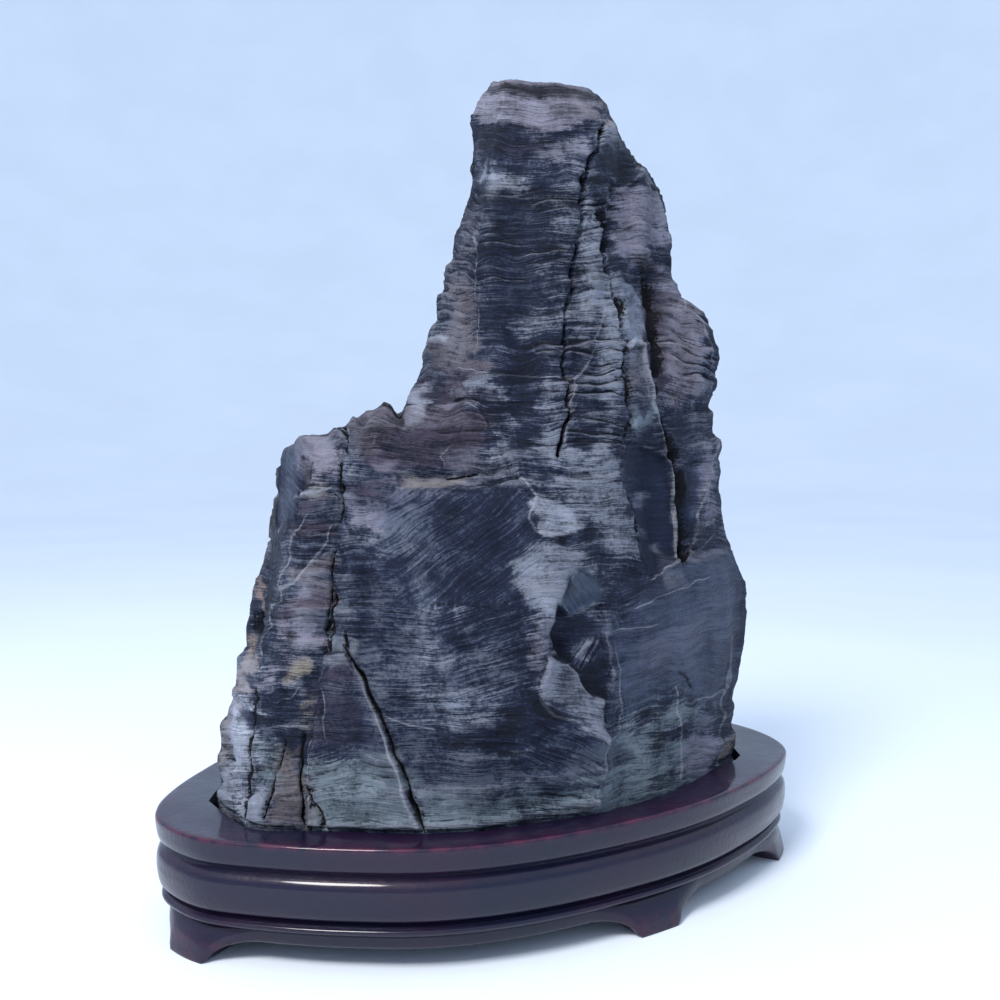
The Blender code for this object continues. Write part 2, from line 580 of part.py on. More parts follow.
class Plan:
    """Points picked along a closed line, with the way inwards at each."""

    def __init__(self, curve, wanted):
        length = distances_along(curve)[-1]
        self.points = places_along(curve, wanted)
        ahead = places_along(curve, (wanted + 1.0) % length)
        tangent = ahead - places_along(curve, (wanted - 1.0) % length)
        tangent /= np.hypot(*tangent.T)[:, None]
        self.inwards = np.column_stack((-tangent[:, 1], tangent[:, 0]))

    def loop(self, distance, height):
        """The points moved inwards by a distance, at a height."""
        moved = self.points + self.inwards * np.asarray(distance).reshape(-1, 1)
        return np.column_stack((moved, np.broadcast_to(height, len(moved))))


def ring_faces(loops, count):
    """Quads that join each loop of vertices to the next, running outside to inside downwards."""
    faces = []
    for loop in range(loops - 1):
        for step in range(count):
            a, b = loop * count + step, loop * count + (step + 1) % count
            faces.append((b, a, a + count, b + count))
    return faces


def stand_plan():
    """The plan of the stand, closer where a foot bends, and at each point how much it is a foot."""
    curve = rounded_outline(RIM)
    along = distances_along(curve)
    length = along[-1]
    bearings = np.degrees(np.arctan2(curve[:, 1], curve[:, 0]))
    feet = [along[np.argmin(np.abs((bearings - at + 180.0) % 360.0 - 180.0))] for at in FEET_AT]
    bends = [FOOT_FLAT + FOOT_CURVE * share for share in FOOT_BENDS]
    marks = sorted((foot + side * bend) % length for foot in feet for bend in bends for side in (-1, 1))
    wanted = []
    for mark, following in zip(marks, marks[1:] + [marks[0] + length]):
        pieces = max(1, round((following - mark) / LONGEST_STEP))
        wanted += [(mark + (following - mark) * piece / pieces) % length for piece in range(pieces)]
    wanted = np.sort(wanted)
    gaps = np.abs((wanted[:, None] - np.array(feet) + length / 2.0) % length - length / 2.0).min(axis=1)
    away = np.clip((gaps - FOOT_FLAT) / FOOT_CURVE, 0.0, 1.0)
    return Plan(curve, wanted), 1.0 - np.sqrt(1.0 - (1.0 - away) ** 2)


def stand_body(plan):
    """The moulded body of the stand, solid, before its feet and the stone's seat."""
    loops = [plan.loop(distance, height) for distance, height in MOULDING]
    count = len(plan.points)
    faces = ring_faces(len(loops), count)
    faces.append(tuple(range(count)))
    last = (len(loops) - 1) * count
    faces.append(tuple(range(last + count - 1, last - 1, -1)))
    return new_object("stand", np.vstack(loops), faces)


def stand_apron(plan, foot):
    """The apron under the body, with a lower edge that drops to the table at each foot."""
    lower = APRON_EDGE * (1.0 - foot)
    loops = []
    for share, apron_inset, foot_inset in zip(APRON_SHARES, APRON_INSETS, FOOT_INSETS):
        distance = apron_inset + (foot_inset - apron_inset) * np.sqrt(foot)
        loops.append(plan.loop(distance, APRON_TOP + (lower - APRON_TOP) * share))
    loops.append(plan.loop(APRON_INSET, lower))
    loops.append(plan.loop(APRON_INSET, APRON_TOP))
    count = len(plan.points)
    faces = ring_faces(len(loops), count)
    last = (len(loops) - 1) * count
    for step in range(count):
        following = (step + 1) % count
        faces.append((last + following, last + step, step, following))
    return new_object("apron tool", np.vstack(loops), faces)


def seat_cutter(ribs):
    """The stone's foot, a little wider and without its cleft, from the seat's floor upwards."""
    foot = np.array([(*rib_at(rib, [STONE_FOOT])[0], 0.0) for rib in ribs])
    curve = to_part(np.delete(foot, CLEFT_RIB, axis=0))[:, :2]
    plan = Plan(curve, np.linspace(0.0, distances_along(curve)[-1], SEAT_STEPS, endpoint=False))
    top = plan.loop(-RECESS_CLEARANCE, STAND_TOP + CUT_ABOVE)
    floor = plan.loop(-RECESS_CLEARANCE, RECESS_FLOOR)
    faces = ring_faces(2, SEAT_STEPS)
    faces.append(tuple(range(SEAT_STEPS)))
    faces.append(tuple(range(2 * SEAT_STEPS - 1, SEAT_STEPS - 1, -1)))
    return new_object("seat tool", np.vstack((top, floor)), faces)


def combine(target, tool, operation):
    """Adds or cuts the tool with a Boolean, and removes the tool."""
    boolean = target.modifiers.new(tool.name, "BOOLEAN")
    boolean.operation = operation
    boolean.object = tool
    boolean.solver = "EXACT"
    target.data = evaluated_mesh(target)
    target.modifiers.clear()
    bpy.data.objects.remove(tool)


def build_stand(ribs):
    """The wooden stand: one piece, with a moulded side, an apron on feet and a seat for the stone."""
    plan, foot = stand_plan()
    stand = stand_body(plan)
    combine(stand, stand_apron(plan, foot), "UNION")
    combine(stand, seat_cutter(ribs), "DIFFERENCE")
    stand.data.name = "stand"
    return stand


def finish(made, name, colour, roughness):
    """Gives an object its material and shades it smooth with sharp arrises."""
    material = bpy.data.materials.new(name)
    material.use_nodes = True
    shader = material.node_tree.nodes["Principled BSDF"]
    shader.inputs["Base Color"].default_value = (*colour, 1.0)
    shader.inputs["Roughness"].default_value = roughness
    shader.inputs["Metallic"].default_value = 0.0
    made.data.materials.clear()
    made.data.materials.append(material)
    made.data.shade_smooth()
    made.data.set_sharp_from_angle(angle=SHARP_ANGLE)


def main():
    """Clears the scene and builds the stone and its stand."""
    for old in list(bpy.data.objects):
        bpy.data.objects.remove(old)
    ribs = stone_ribs()
    finish(build_stone(ribs), "dark slate stone", (0.12, 0.13, 0.16), 0.75)
    finish(build_stand(ribs), "lacquered red-brown wood", (0.07, 0.025, 0.03), 0.3)


main()
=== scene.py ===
"""The looks of a scholar's rock in its carved wooden stand.

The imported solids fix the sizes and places. This script models the stone and the stand again with their
beds, clefts, chips and mouldings, gives them their finishes, and lights them on a pale floor. Lengths in
the tables are millimetres. The show face is drawn on a square frame of 1000 by 1000 units, x to the right
and y down, as the camera sees it.
"""

import logging
import math
from dataclasses import dataclass
from enum import Enum, IntEnum
from typing import Callable

import bpy
import numpy as np
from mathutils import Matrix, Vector


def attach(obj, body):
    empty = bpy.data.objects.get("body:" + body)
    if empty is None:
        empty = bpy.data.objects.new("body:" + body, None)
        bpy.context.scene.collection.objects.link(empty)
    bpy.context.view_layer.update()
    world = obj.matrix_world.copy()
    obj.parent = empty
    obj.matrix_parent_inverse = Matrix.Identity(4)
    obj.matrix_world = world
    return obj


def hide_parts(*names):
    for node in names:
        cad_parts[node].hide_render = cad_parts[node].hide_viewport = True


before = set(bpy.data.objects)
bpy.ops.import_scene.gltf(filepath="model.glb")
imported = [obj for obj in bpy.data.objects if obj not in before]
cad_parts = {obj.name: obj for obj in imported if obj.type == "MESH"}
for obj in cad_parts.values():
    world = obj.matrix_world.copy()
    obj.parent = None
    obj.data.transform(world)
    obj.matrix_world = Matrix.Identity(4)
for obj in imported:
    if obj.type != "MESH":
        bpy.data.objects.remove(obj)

log = logging.getLogger("scene")

Array = np.ndarray
Object = bpy.types.Object
Mesh = bpy.types.Mesh
Socket = bpy.types.NodeSocket
Pair = tuple[float, float]
Triple = tuple[float, float, float]
Path = tuple[Pair, ...]
Rib = tuple[Triple, ...]
Value = Socket | float | Triple

MM = 0.001

# Numbers that scramble a cell and a seed into the lattice noise
CELL_PRIMES = (73856093, 19349663, 83492791)
SEED_PRIME = 2654435
MIXING_PRIME = 1274126177
HALF_WORD = 32767.5

# The plan of the stand's top edge, anticlockwise from the left end, (x, y)
RIM = (
    (-100.7, -8.6), (-95.2, -24.1), (-83.7, -35.6), (-64.7, -49.1), (-42.7, -60.1), (-16.7, -65.1),
    (13.3, -64.6), (39.3, -60.1), (63.3, -51.1), (81.3, -41.1), (94.3, -29.6), (100.3, -14.1), (99.8, 3.4),
    (92.3, 25.4), (74.3, 45.9), (46.3, 60.4), (13.3, 65.4), (-20.7, 64.2), (-48.7, 56.9), (-69.7, 44.9),
    (-83.2, 30.4), (-93.2, 16.4), (-99.2, 3.9),
)

# The moulding down the stand's side, (how far in from the rim, height), and the share of red there, partly wear
# and partly painted sheen
MOULDING = (
    (30, 32.7, 0), (6, 32.7, 0), (2.2, 32.7, 0), (1.1, 32.68, 0.25), (0.55, 32.6, 0.8), (0.2, 32.4, 1),
    (0.03, 32, 0.6), (0, 31.4, 0.1), (0.1, 30.2, 0), (0.28, 28.8, 0), (0.5, 27.5, 0), (0.85, 26.6, 0),
    (1.4, 26, 0.15), (2.1, 25.6, 0), (2.6, 25.3, 0), (2.75, 25, 0), (2.55, 24.65, 0), (2, 24.2, 0),
    (1.4, 23.75, 0.1), (0.9, 23.2, 0.1), (0.5, 22.5, 0), (0.28, 21.5, 0), (0.2, 20.3, 0), (0.25, 18.8, 0),
    (0.42, 17.2, 0), (0.68, 15.7, 0), (1, 14.6, 0), (1.5, 13.9, 0.1), (2.4, 13.5, 0), (3.2, 13.2, 0),
    (3.4, 12.9, 0), (2.9, 12.6, 0), (2.3, 12.35, 0), (2.7, 12.1, 0), (2.5, 11.8, 0), (1.85, 11.55, 0),
    (1.55, 11.2, 0), (1.5, 10.8, 0.1), (1.65, 10.4, 0.1), (2.1, 10.1, 0), (3.2, 9.98, 0),
)

# The outside of the apron and of a foot: how far in from the rim at each share of the way down
APRON_SHARES = (0.0, 0.12, 0.25, 0.4, 0.55, 0.7, 0.82, 0.92, 0.97, 1.0)
APRON_INSETS = (4.6, 4.3, 4.1, 4.0, 4.0, 4.1, 4.2, 4.5, 4.8, 5.2)
FOOT_INSETS = (4.6, 3.4, 2.6, 1.9, 1.4, 1.0, 0.7, 0.5, 0.45, 0.6)

# Ribs of the show face, from the top down: (across, up) as seen on the sight plane, and depth, which is
# how far behind the stand's middle the point lies
PEAK_LEFT = (
    (-3, 126, -12), (-6.3, 121.5, -10), (-9.6, 114.6, -8), (-7.2, 106.5, -8), (-9, 100.5, -8), (-9, 93, -8),
    (-11.7, 84, -6), (-14.4, 75.6, -5), (-17.4, 66, -3), (-19.5, 58.5, -2), (-20.4, 51, -1), (-22.8, 41.4, 0),
    (-26.7, 32.4, 1), (-29.7, 25.2, 2),
)
BLOCK_LEFT = (
    (-64.8, 14.4, -12), (-66.3, 11.4, -14), (-67.2, 3, -16), (-69, -10.5, -18), (-70.5, -18.6, -20),
    (-73.5, -23.4, -22), (-75, -31.5, -24), (-75.6, -40.8, -26), (-77.1, -51.6, -28), (-78.3, -60, -30),
    (-81.9, -62.4, -31), (-83.7, -67.5, -32), (-84.6, -75, -34), (-84.9, -87, -36),
)
BLOCK_EDGE = (
    (-59.7, 18.9, -18), (-60.9, 13.5, -32), (-61.8, 3, -36), (-65.7, -13.5, -38), (-66, -24, -40),
    (-68.4, -33.6, -42), (-71.4, -43.5, -44), (-72, -57, -46), (-71.4, -66, -48), (-73.8, -78, -51),
    (-76.2, -95.4, -54),
)
BLOCK_FACE = (
    (-54.6, 19.2, -18), (-55.5, 13.5, -32), (-57.6, 6.6, -40), (-59.4, 0, -43), (-60.6, -18, -45),
    (-63, -25.5, -47), (-66, -33.6, -48), (-64.8, -46.5, -50), (-66, -57, -51), (-68.4, -63.6, -52),
    (-64.8, -72.6, -55), (-68.4, -85.5, -57), (-71.4, -96.3, -58),
)
BLOCK_RIGHT = (
    (-49.5, 21.9, -20), (-49.2, 15, -34), (-50.1, 7.5, -41), (-49.8, -3, -43), (-51.9, -13.5, -45),
    (-52.8, -30, -48), (-54, -42, -49), (-55.8, -54, -52), (-57.6, -63, -53), (-60, -73.5, -56),
    (-60.9, -85.5, -58), (-60.9, -97.5, -59),
)
CLEFT = (
    (-46.5, 22.8, -22), (-46.5, 18, -35), (-46.2, 9, -41), (-46.8, -1.5, -43.4), (-48.3, -12, -45),
    (-49.5, -30, -47.4), (-51.6, -42, -48.8), (-53.4, -52.5, -52), (-55.5, -61.5, -53.6), (-58.2, -73.5, -56),
    (-59.1, -85.5, -57), (-57.6, -97.8, -57.4),
)
FACE_EDGE = (
    (-45, 25.2, -26), (-44.4, 21, -38), (-43.8, 12, -43), (-44.4, 0, -46), (-45.3, -13.5, -48),
    (-46.5, -30, -50), (-47.7, -42, -52), (-47.4, -46.8, -55), (-49.5, -60, -57), (-51, -78, -59),
    (-51, -98.4, -60),
)
FACE_LEFT = (
    (-34.8, 27.3, -26), (-34.2, 22.5, -38), (-34.5, 13.5, -42), (-31.5, 7.2, -44), (-32.4, 0, -48),
    (-34.5, -18, -51), (-36.6, -42, -54), (-38.4, -60, -57), (-40.5, -78, -60), (-39.6, -98.7, -61),
)
FACE_MIDDLE = (
    (1.5, 125.7, -17), (0, 117, -20), (-0.9, 105, -22), (-2.4, 93, -24), (-7.2, 79.5, -27), (-8.4, 63, -29),
    (-6.3, 51, -31), (-5.4, 33, -35), (-3, 21, -38), (-0.9, 13.5, -40), (-9, 7.2, -43), (-18, 0, -49),
    (-22.5, -30, -54), (-25.5, -60, -58), (-24, -99.6, -62),
)
FACE_RIGHT = (
    (12, 125.7, -16), (12, 114, -21), (10.5, 93, -26), (9, 72, -30), (7.5, 51, -33), (6, 30, -37),
    (4.5, 15, -41), (3.6, 8.4, -43), (-3, -3, -49), (-6, -30, -55), (-6.6, -60, -59), (-6, -99.3, -60),
)
CREST = (
    (23.4, 124.8, -12), (26.4, 116.4, -17), (27.6, 108, -19), (24, 90, -26), (21, 72, -31), (18.6, 54, -34),
    (18, 39, -38), (18.6, 30, -40), (16.8, 21, -42), (15, 12, -44), (12, 3, -47), (13.5, -9, -51),
    (19.5, -18, -53), (16.8, -30, -56), (12, -42, -58), (10.5, -57, -60), (16.5, -64.5, -60),
    (25.5, -70.5, -57), (30.9, -73.8, -53), (30.3, -82.5, -50), (28.5, -93.9, -47),
)
COLUMN_LEFT = (
    (26.4, 124.2, -9), (30.6, 114, -11), (30.9, 106.5, -14), (27.6, 90, -22), (24.6, 72, -28), (22.2, 54, -32),
    (21.9, 42, -35), (23.1, 31.5, -38), (21.6, 21, -41), (20.4, 14.4, -43), (22.8, 3, -46), (27.6, -12, -48),
    (30.9, -22.5, -49), (32.4, -36, -50), (35.7, -46.5, -48), (36.6, -60, -46), (35.4, -72, -45),
    (36.6, -92.4, -42),
)
COLUMN_RIGHT = (
    (28.8, 122.4, -5), (33.6, 111, -6), (33, 99, -11), (30, 85.5, -18), (32.1, 75, -22), (33.9, 63, -25),
    (36, 51, -28), (37.5, 36, -31), (39.3, 25.5, -34), (36.6, 18, -38), (35.4, 6, -41), (39, -4.5, -41),
    (42.6, -15, -41), (46.2, -24, -40), (47.4, -42, -38), (48, -60, -36), (48.9, -88.5, -31),
)
HOLLOW = (
    (30.3, 120.9, -2), (35.4, 108, -1), (38.4, 96, -3), (38.1, 81, -9), (39, 66, -12), (39.9, 51, -15),
    (42.6, 37.5, -18), (42.9, 27, -21), (43.5, 15, -22), (45, 0, -22), (46.8, -13.5, -24), (48.6, -21.6, -30),
    (50.4, -27, -36), (54.6, -45, -31), (55.8, -60, -28), (57.6, -84.9, -19),
)
OUTER_RIB = (
    (31.2, 119.7, 1), (37.2, 105.6, 4), (42.3, 96.6, 3), (45, 81, -1), (45.6, 66, -4), (47.4, 48, -8),
    (49.8, 30, -12), (52.5, 15, -15), (54.3, 0, -16), (55.8, -15.9, -19), (59.1, -18, -24), (63, -30, -22),
    (64.2, -45, -18), (63.6, -60, -14), (64.8, -81.6, -4),
)
RIGHT_SIDE = (
    (32.1, 118.8, 4), (33.9, 114.6, 6), (36, 108, 8), (39.3, 101.4, 9), (43.5, 98.4, 9), (46.5, 93, 8),
    (49.2, 88.5, 8), (52.2, 76.5, 6), (51.6, 69, 6), (52.2, 63, 6), (54.3, 59.4, 6), (58.8, 56.7, 6),
    (62.7, 51.6, 6), (65.4, 42.6, 6), (64.5, 34.5, 6), (63.3, 27, 7), (63.9, 22.5, 7), (66, 15.9, 8),
    (65.4, 6, 8), (66, -3, 8), (67.2, -9, 8), (69.9, -14.4, 9), (74.4, -24.6, 8), (74.7, -31.5, 8),
    (74.1, -42, 8), (71.1, -57, 8), (70.5, -66, 8), (71.1, -73.5, 7), (70.5, -77.1, 6),
)

# Ribs of the far side, from the top down: (right, behind, height), square to the viewing point
BACK_RIGHT = (
    (24, 10, 233), (44, 20, 205), (52, 24, 180), (60, 28, 150), (66, 30, 120), (74, 33, 90), (76, 34, 60),
    (76, 34, 32),
)
BACK_RIGHT_EDGE = (
    (18, 14, 234), (30, 28, 205), (40, 30, 180), (44, 40, 150), (50, 42, 120), (55, 51, 90), (56, 54, 60),
    (56, 54, 32),
)
BACK_MIDDLE = (
    (10, 12, 235), (16, 27, 205), (18, 33, 180), (21, 43, 150), (17, 47, 120), (20, 55, 90), (20, 58, 60),
    (19, 57, 32),
)
BACK_LEFT_EDGE = (
    (2, 6, 235), (2, 18, 205), (0, 26, 180), (-7, 33, 150), (-15, 39, 125), (-20, 42, 95), (-24, 45, 60),
    (-22, 43, 32),
)
BACK_LEFT = (
    (-3, -2, 234), (-8, 8, 200), (-14, 12, 170), (-22, 16, 143), (-44, 18, 133), (-52, 18, 100), (-57, 20, 60),
    (-56, 18, 32),
)
BACK_END = (
    (-4, -8, 233), (-6, -3, 212), (-9, 0, 200), (-17, 3, 170), (-26, 6, 143), (-60, -3, 132), (-67, -6, 110),
    (-72, -8, 80), (-77, -10, 50), (-77, -12, 32),
)

# Ribs that stop at the low shoulder, and how far each has got from the peak's left side towards the
# middle of its face where the shoulder joins the peak
SHOULDER_RIBS = (
    (BLOCK_LEFT, 0), (BLOCK_EDGE, 0.12), (BLOCK_FACE, 0.26), (BLOCK_RIGHT, 0.4), (CLEFT, 0.55),
    (FACE_EDGE, 0.7), (FACE_LEFT, 0.86),
)
CLEFT_RIB = 4
FRONT_RIBS = (FACE_MIDDLE, FACE_RIGHT, CREST, COLUMN_LEFT, COLUMN_RIGHT, HOLLOW, OUTER_RIB, RIGHT_SIDE)
BACK_RIBS = (BACK_RIGHT, BACK_RIGHT_EDGE, BACK_MIDDLE, BACK_LEFT_EDGE, BACK_LEFT, BACK_END)

# Clefts of the far side: (half width, depth, then bearing in degrees and height in millimetres)
BACK_CLEFTS = (
    (2, 2.8, ((62, 190), (58, 150), (66, 110), (60, 70), (63, 33))),
    (1.6, 2.2, ((98, 226), (104, 180), (98, 140), (106, 95), (101, 60))),
    (2.2, 3.4, ((136, 170), (128, 140), (133, 100), (126, 60), (130, 33))),
    (1.5, 2, ((32, 160), (36, 120), (30, 80), (34, 45))),
    (1.8, 2.4, ((163, 128), (158, 100), (164, 70), (160, 33))),
    (1.5, 2, ((80, 100), (86, 70), (82, 33))),
)


class Tone(Enum):
    """Colours that the stone takes in patches, and that paint shade into a few hollows and top light onto
    upward-facing surfaces, as linear red, green and blue.
    """

    MIST = (0.165, 0.182, 0.228)
    MAUVE = (0.165, 0.158, 0.205)
    PLUM = (0.047, 0.038, 0.062)
    SAGE = (0.125, 0.155, 0.18)
    SAND = (0.2, 0.178, 0.152)
    PEACH = (0.2, 0.155, 0.145)
    RUST = (0.085, 0.058, 0.058)
    NIGHT = (0.004, 0.0065, 0.017)
    INK = (0.008, 0.012, 0.032)
    BLUE = (0.026, 0.042, 0.075)
    TAUPE = (0.1, 0.09, 0.108)
    FROST = (0.30, 0.32, 0.385)
    SLATE = (0.05, 0.063, 0.1)


class Seed(IntEnum):
    """Which noise each unevenness of the stone is drawn from."""

    LUMPS = 11
    BED_WANDER = 23
    BED_PATCHES = 31
    FINE_WANDER = 41
    RAGGED_LINES = 51
    BROAD_STAINS = 53
    RAGGED_STAINS = 55
    STAIN_LOBES = 57
    STAIN_DRIPS = 59
    BROKEN_BEDS = 61
    WARPED_BEDS = 67
    GRIT = 71
    CLEFT_WOBBLE = 75
    CLEFT_RIPPLE = 77
    CLEFT_BREADTH = 79
    CREASES = 83
    CREASE_RIPPLE = 85
    CROSS_CREASES = 87
    CROSS_RIPPLE = 89
    WORN_AREAS = 91
    BROWN_AREAS = 93


@dataclass(frozen=True)
class Crack:
    """A cleft drawn on the frame: its line, half width and depth, and how dark it is painted inside, as painted
    shade.
    """

    path: Path
    half_width: float
    depth: float
    # how strongly painted shade darkens the cleft's inside
    dark: float = 1.0


@dataclass(frozen=True)
class Vein:
    """A thin pale line that stands a little proud."""

    path: Path
    half_width: float = 0.4
    rise: float = 0.2
    pale: float = 0.32


@dataclass(frozen=True)
class Swell:
    """A broad rounded ridge along a line, or a trough where rise is negative."""

    path: Path
    half_width: float
    rise: float


@dataclass(frozen=True)
class Knob:
    """A knob of the outline, drawn on the frame: its middle, its radius there, and its rise in millimetres."""

    at: Pair
    radius: float
    rise: float


@dataclass(frozen=True)
class Facet:
    """A patch sunk below the face, or raised where sink is negative, with a sloping border."""

    outline: Path
    border: float
    sink: float
    calm: float = 0.0


@dataclass(frozen=True)
class Patch:
    """A patch of colour, mostly a stain or worn place, and in a few hollows a painted shade: its outline,
    colour, strength, and how softly it ends.
    """

    outline: Path
    tone: Tone
    strength: float
    soft: float = 2.0


@dataclass(frozen=True)
class Beds:
    """A stretch of the face whose fine beds run at a slope, in degrees, rising to the right."""

    outline: Path
    slope: float
    soft: float = 6.0
    strength: float = 0.4


# Outlines that the tables below share, on the frame
SPLIT_CHIP = ((578, 567), (601, 582), (604, 595), (590, 606), (571, 616), (560, 602), (568, 582))
COLUMN_CHIP = ((617, 281), (630, 286), (641, 303), (644, 324), (642, 341), (626, 349), (628, 339), (624, 328),
    (620, 309))
COLUMN_PANEL = ((626, 440), (668, 458), (676, 500), (680, 556), (655, 576), (645, 556), (637, 512), (624, 470))
RIGHT_SLOPE = ((655, 262), (690, 300), (716, 348), (714, 380), (690, 402), (664, 410), (656, 372), (650, 320))
SMALL_CHIP = ((632, 422), (647, 403), (651, 409), (645, 422), (630, 431))
SADDLE_CHIP = ((400, 385), (430, 388), (426, 420), (404, 425))
FOOT_CHIP = ((244, 800), (262, 790), (268, 800), (258, 823), (243, 822))
CLEFT_CHIP = ((348, 635), (358, 640), (358, 655), (349, 655))
LOWER_PANEL = ((655, 578), (690, 555), (735, 545), (748, 580), (745, 640), (728, 700), (700, 706), (678, 690),
    (626, 720), (612, 640), (636, 600))

# Clefts cut into the face; each is also painted near-black inside, a painted shade as strong as its dark value
CRACKS = (
    Crack(((600, 128), (597, 145), (590, 165), (587, 180), (585, 200), (583, 225), (578, 248), (575, 262),
        (573, 288), (568, 309), (566, 335), (564, 366), (570, 380), (568, 396), (571, 409), (567, 422),
        (563, 437), (558, 456)), 0.7, 3.4),
    Crack(((584, 176), (586, 188), (583, 202)), 1.5, 3),
    Crack(((605, 260), (611, 277), (615, 290), (620, 309), (624, 330), (628, 339)), 1, 3.2),
    Crack(((628, 339), (624, 352), (625, 371), (626, 388), (630, 405), (632, 420), (626, 436)), 1.2, 3.4),
    Crack(((622, 456), (624, 473), (630, 495), (637, 512), (642, 537), (646, 559), (654, 578)), 0.9, 2.2, 0.6),
    Crack(((675, 452), (680, 473), (682, 492), (683, 512), (684, 532), (684, 557)), 1.7, 3.6, 0.9),
    Crack(((346, 650), (354, 662), (361, 672), (367, 683)), 0.5, 2.4),
    Crack(((361, 672), (367, 683), (372, 698), (379, 713)), 0.7, 2.8),
    Crack(((379, 713), (385, 728), (391, 741), (397, 758), (403, 773)), 0.5, 2.4),
    Crack(((403, 773), (409, 788), (411, 800)), 0.35, 1.8),
    Crack(((409, 792), (411, 800), (417, 811), (423, 828)), 0.85, 3),
    Crack(((341, 474), (341, 489), (346, 503), (345, 513), (340, 530), (337, 548), (334, 566), (332, 602),
        (329, 618), (328, 640), (327, 656)), 0.4, 1.5, 0.4),
    Crack(((345, 424), (346, 443), (343, 460), (341, 474)), 0.5, 1.6, 0.5),
    Crack(((345, 488), (347, 500), (344, 520)), 1, 1.8, 0.9),
    Crack(((337, 596), (334, 620), (331, 652)), 0.9, 1.6, 0.8),
    Crack(((304, 736), (303, 760), (302, 790), (306, 824)), 0.5, 1.6, 0.4),
    Crack(((309, 790), (314, 803), (321, 812), (326, 824)), 1.2, 2.6),
    Crack(((258, 690), (250, 760), (247, 818)), 0.5, 1.4, 0.4),
    Crack(((284, 742), (277, 765), (272, 790), (262, 820)), 0.6, 1.6, 0.5),
    Crack(((257, 614), (256, 621), (257, 629)), 1.5, 3.4),
    Crack(((598, 216), (604, 226), (606, 240), (602, 250)), 1.8, 2.2, 0.9),
    Crack(((645, 272), (652, 296), (655, 330), (658, 370)), 2.6, 1.9, 0.7),
    Crack(((654, 384), (660, 412), (668, 440), (672, 455)), 1.6, 2, 0.7),
    Crack(((682, 673), (689, 679), (693, 688)), 0.5, 0.5, 0.2),
    Crack(((448, 475), (460, 474), (476, 472)), 0.4, 0.4, 0.4),
    Crack(((330, 622), (327, 630)), 1, 1.6),
    Crack(((455, 366), (469, 390), (486, 420), (499, 450), (509, 470), (524, 490), (534, 505)), 0.4, 0.4, 0.1),
    Crack(((347, 636), (348, 646), (347, 655)), 0.6, 1, 0.8),
)

VEINS = (
    Vein(((598, 225), (606, 250), (610, 275), (614, 300), (620, 330)), 0.45),
    Vein(((604, 310), (596, 345), (586, 368), (575, 378), (573, 396), (569, 415), (566, 440))),
    Vein(((640, 347), (640, 358), (645, 373), (649, 388), (650, 402), (657, 420), (665, 440), (670, 460)), 0.6,
        0.4),
    Vein(((673, 462), (675, 480), (676, 505), (677, 530), (679, 556)), 0.6, 0.2, 0.3),
    Vein(((714, 446), (707, 469), (701, 495), (694, 516), (692, 535), (688, 556)), 0.45, 0.5),
    Vein(((682, 307), (697, 328), (705, 345), (707, 367)), 0.35),
    Vein(((688, 556), (700, 548), (707, 541), (712, 535)), 0.4, 0.4),
    Vein(((655, 578), (672, 566), (690, 555)), 0.35, 0.3),
    Vein(((618, 654), (623, 672), (621, 696), (622, 714), (620, 730), (608, 746), (602, 770), (598, 800),
        (595, 812)), 0.4, 0.3, 0.22),
    Vein(((366, 690), (376, 714), (386, 744), (398, 776), (406, 804), (418, 826)), 0.5, 0.3, 0.5),
    Vein(((638, 608), (672, 592), (708, 578)), 0.3, 0.1),
    Vein(((608, 634), (632, 629), (656, 624)), 0.3, 0.1),
    Vein(((677, 688), (678, 712), (681, 730), (680, 760), (680, 782)), 0.45, 0.5),
    Vein(((728, 672), (726, 688), (714, 697), (702, 700))),
    Vein(((734, 636), (730, 680), (723, 700), (722, 720), (718, 766)), 0.5, 0.3),
    Vein(((650, 722), (636, 728), (627, 740))),
    Vein(((540, 700), (555, 715), (575, 722), (590, 733), (608, 745)), 0.6, 0.4),
    Vein(((520, 478), (530, 488), (538, 500), (532, 512), (529, 521), (535, 532), (548, 538), (562, 536),
        (576, 534)), 0.6, 0.4),
    Vein(((462, 368), (500, 374), (560, 378)), 0.3, 0.1),
    Vein(((473, 236), (474, 268), (473, 300))),
    Vein(((478, 310), (477, 345))),
    Vein(((299, 498), (304, 496), (316, 496), (323, 492), (332, 488)), 0.6, 0.5, 0.9),
    Vein(((307, 516), (302, 522), (299, 529), (292, 546), (291, 559), (286, 572), (279, 585), (282, 590),
        (280, 602), (275, 607), (272, 617), (275, 626), (264, 637), (262, 645), (264, 654)), 0.4, 0.3),
    Vein(((330, 528), (328, 541), (321, 551), (312, 562), (304, 574), (297, 582), (288, 587), (281, 591)), 0.5,
        0.4),
    Vein(((262, 729), (285, 727), (308, 727)), 0.4, 0.3),
    Vein(((276, 702), (288, 698), (300, 688)), 0.4, 0.3),
    Vein(((329, 690), (328, 714), (329, 738))),
    Vein(((311, 742), (309, 775), (309, 800)), 0.4, 0.3),
    Vein(((352, 660), (360, 676), (368, 692), (374, 712), (386, 738)), 0.5, 0.2, 0.4),
    Vein(((386, 717), (402, 722), (432, 728)), 0.35),
    Vein(((448, 448), (441, 455), (444, 463))),
    Vein(((342, 404), (347, 415), (350, 432)), 0.5, 0.3),
)

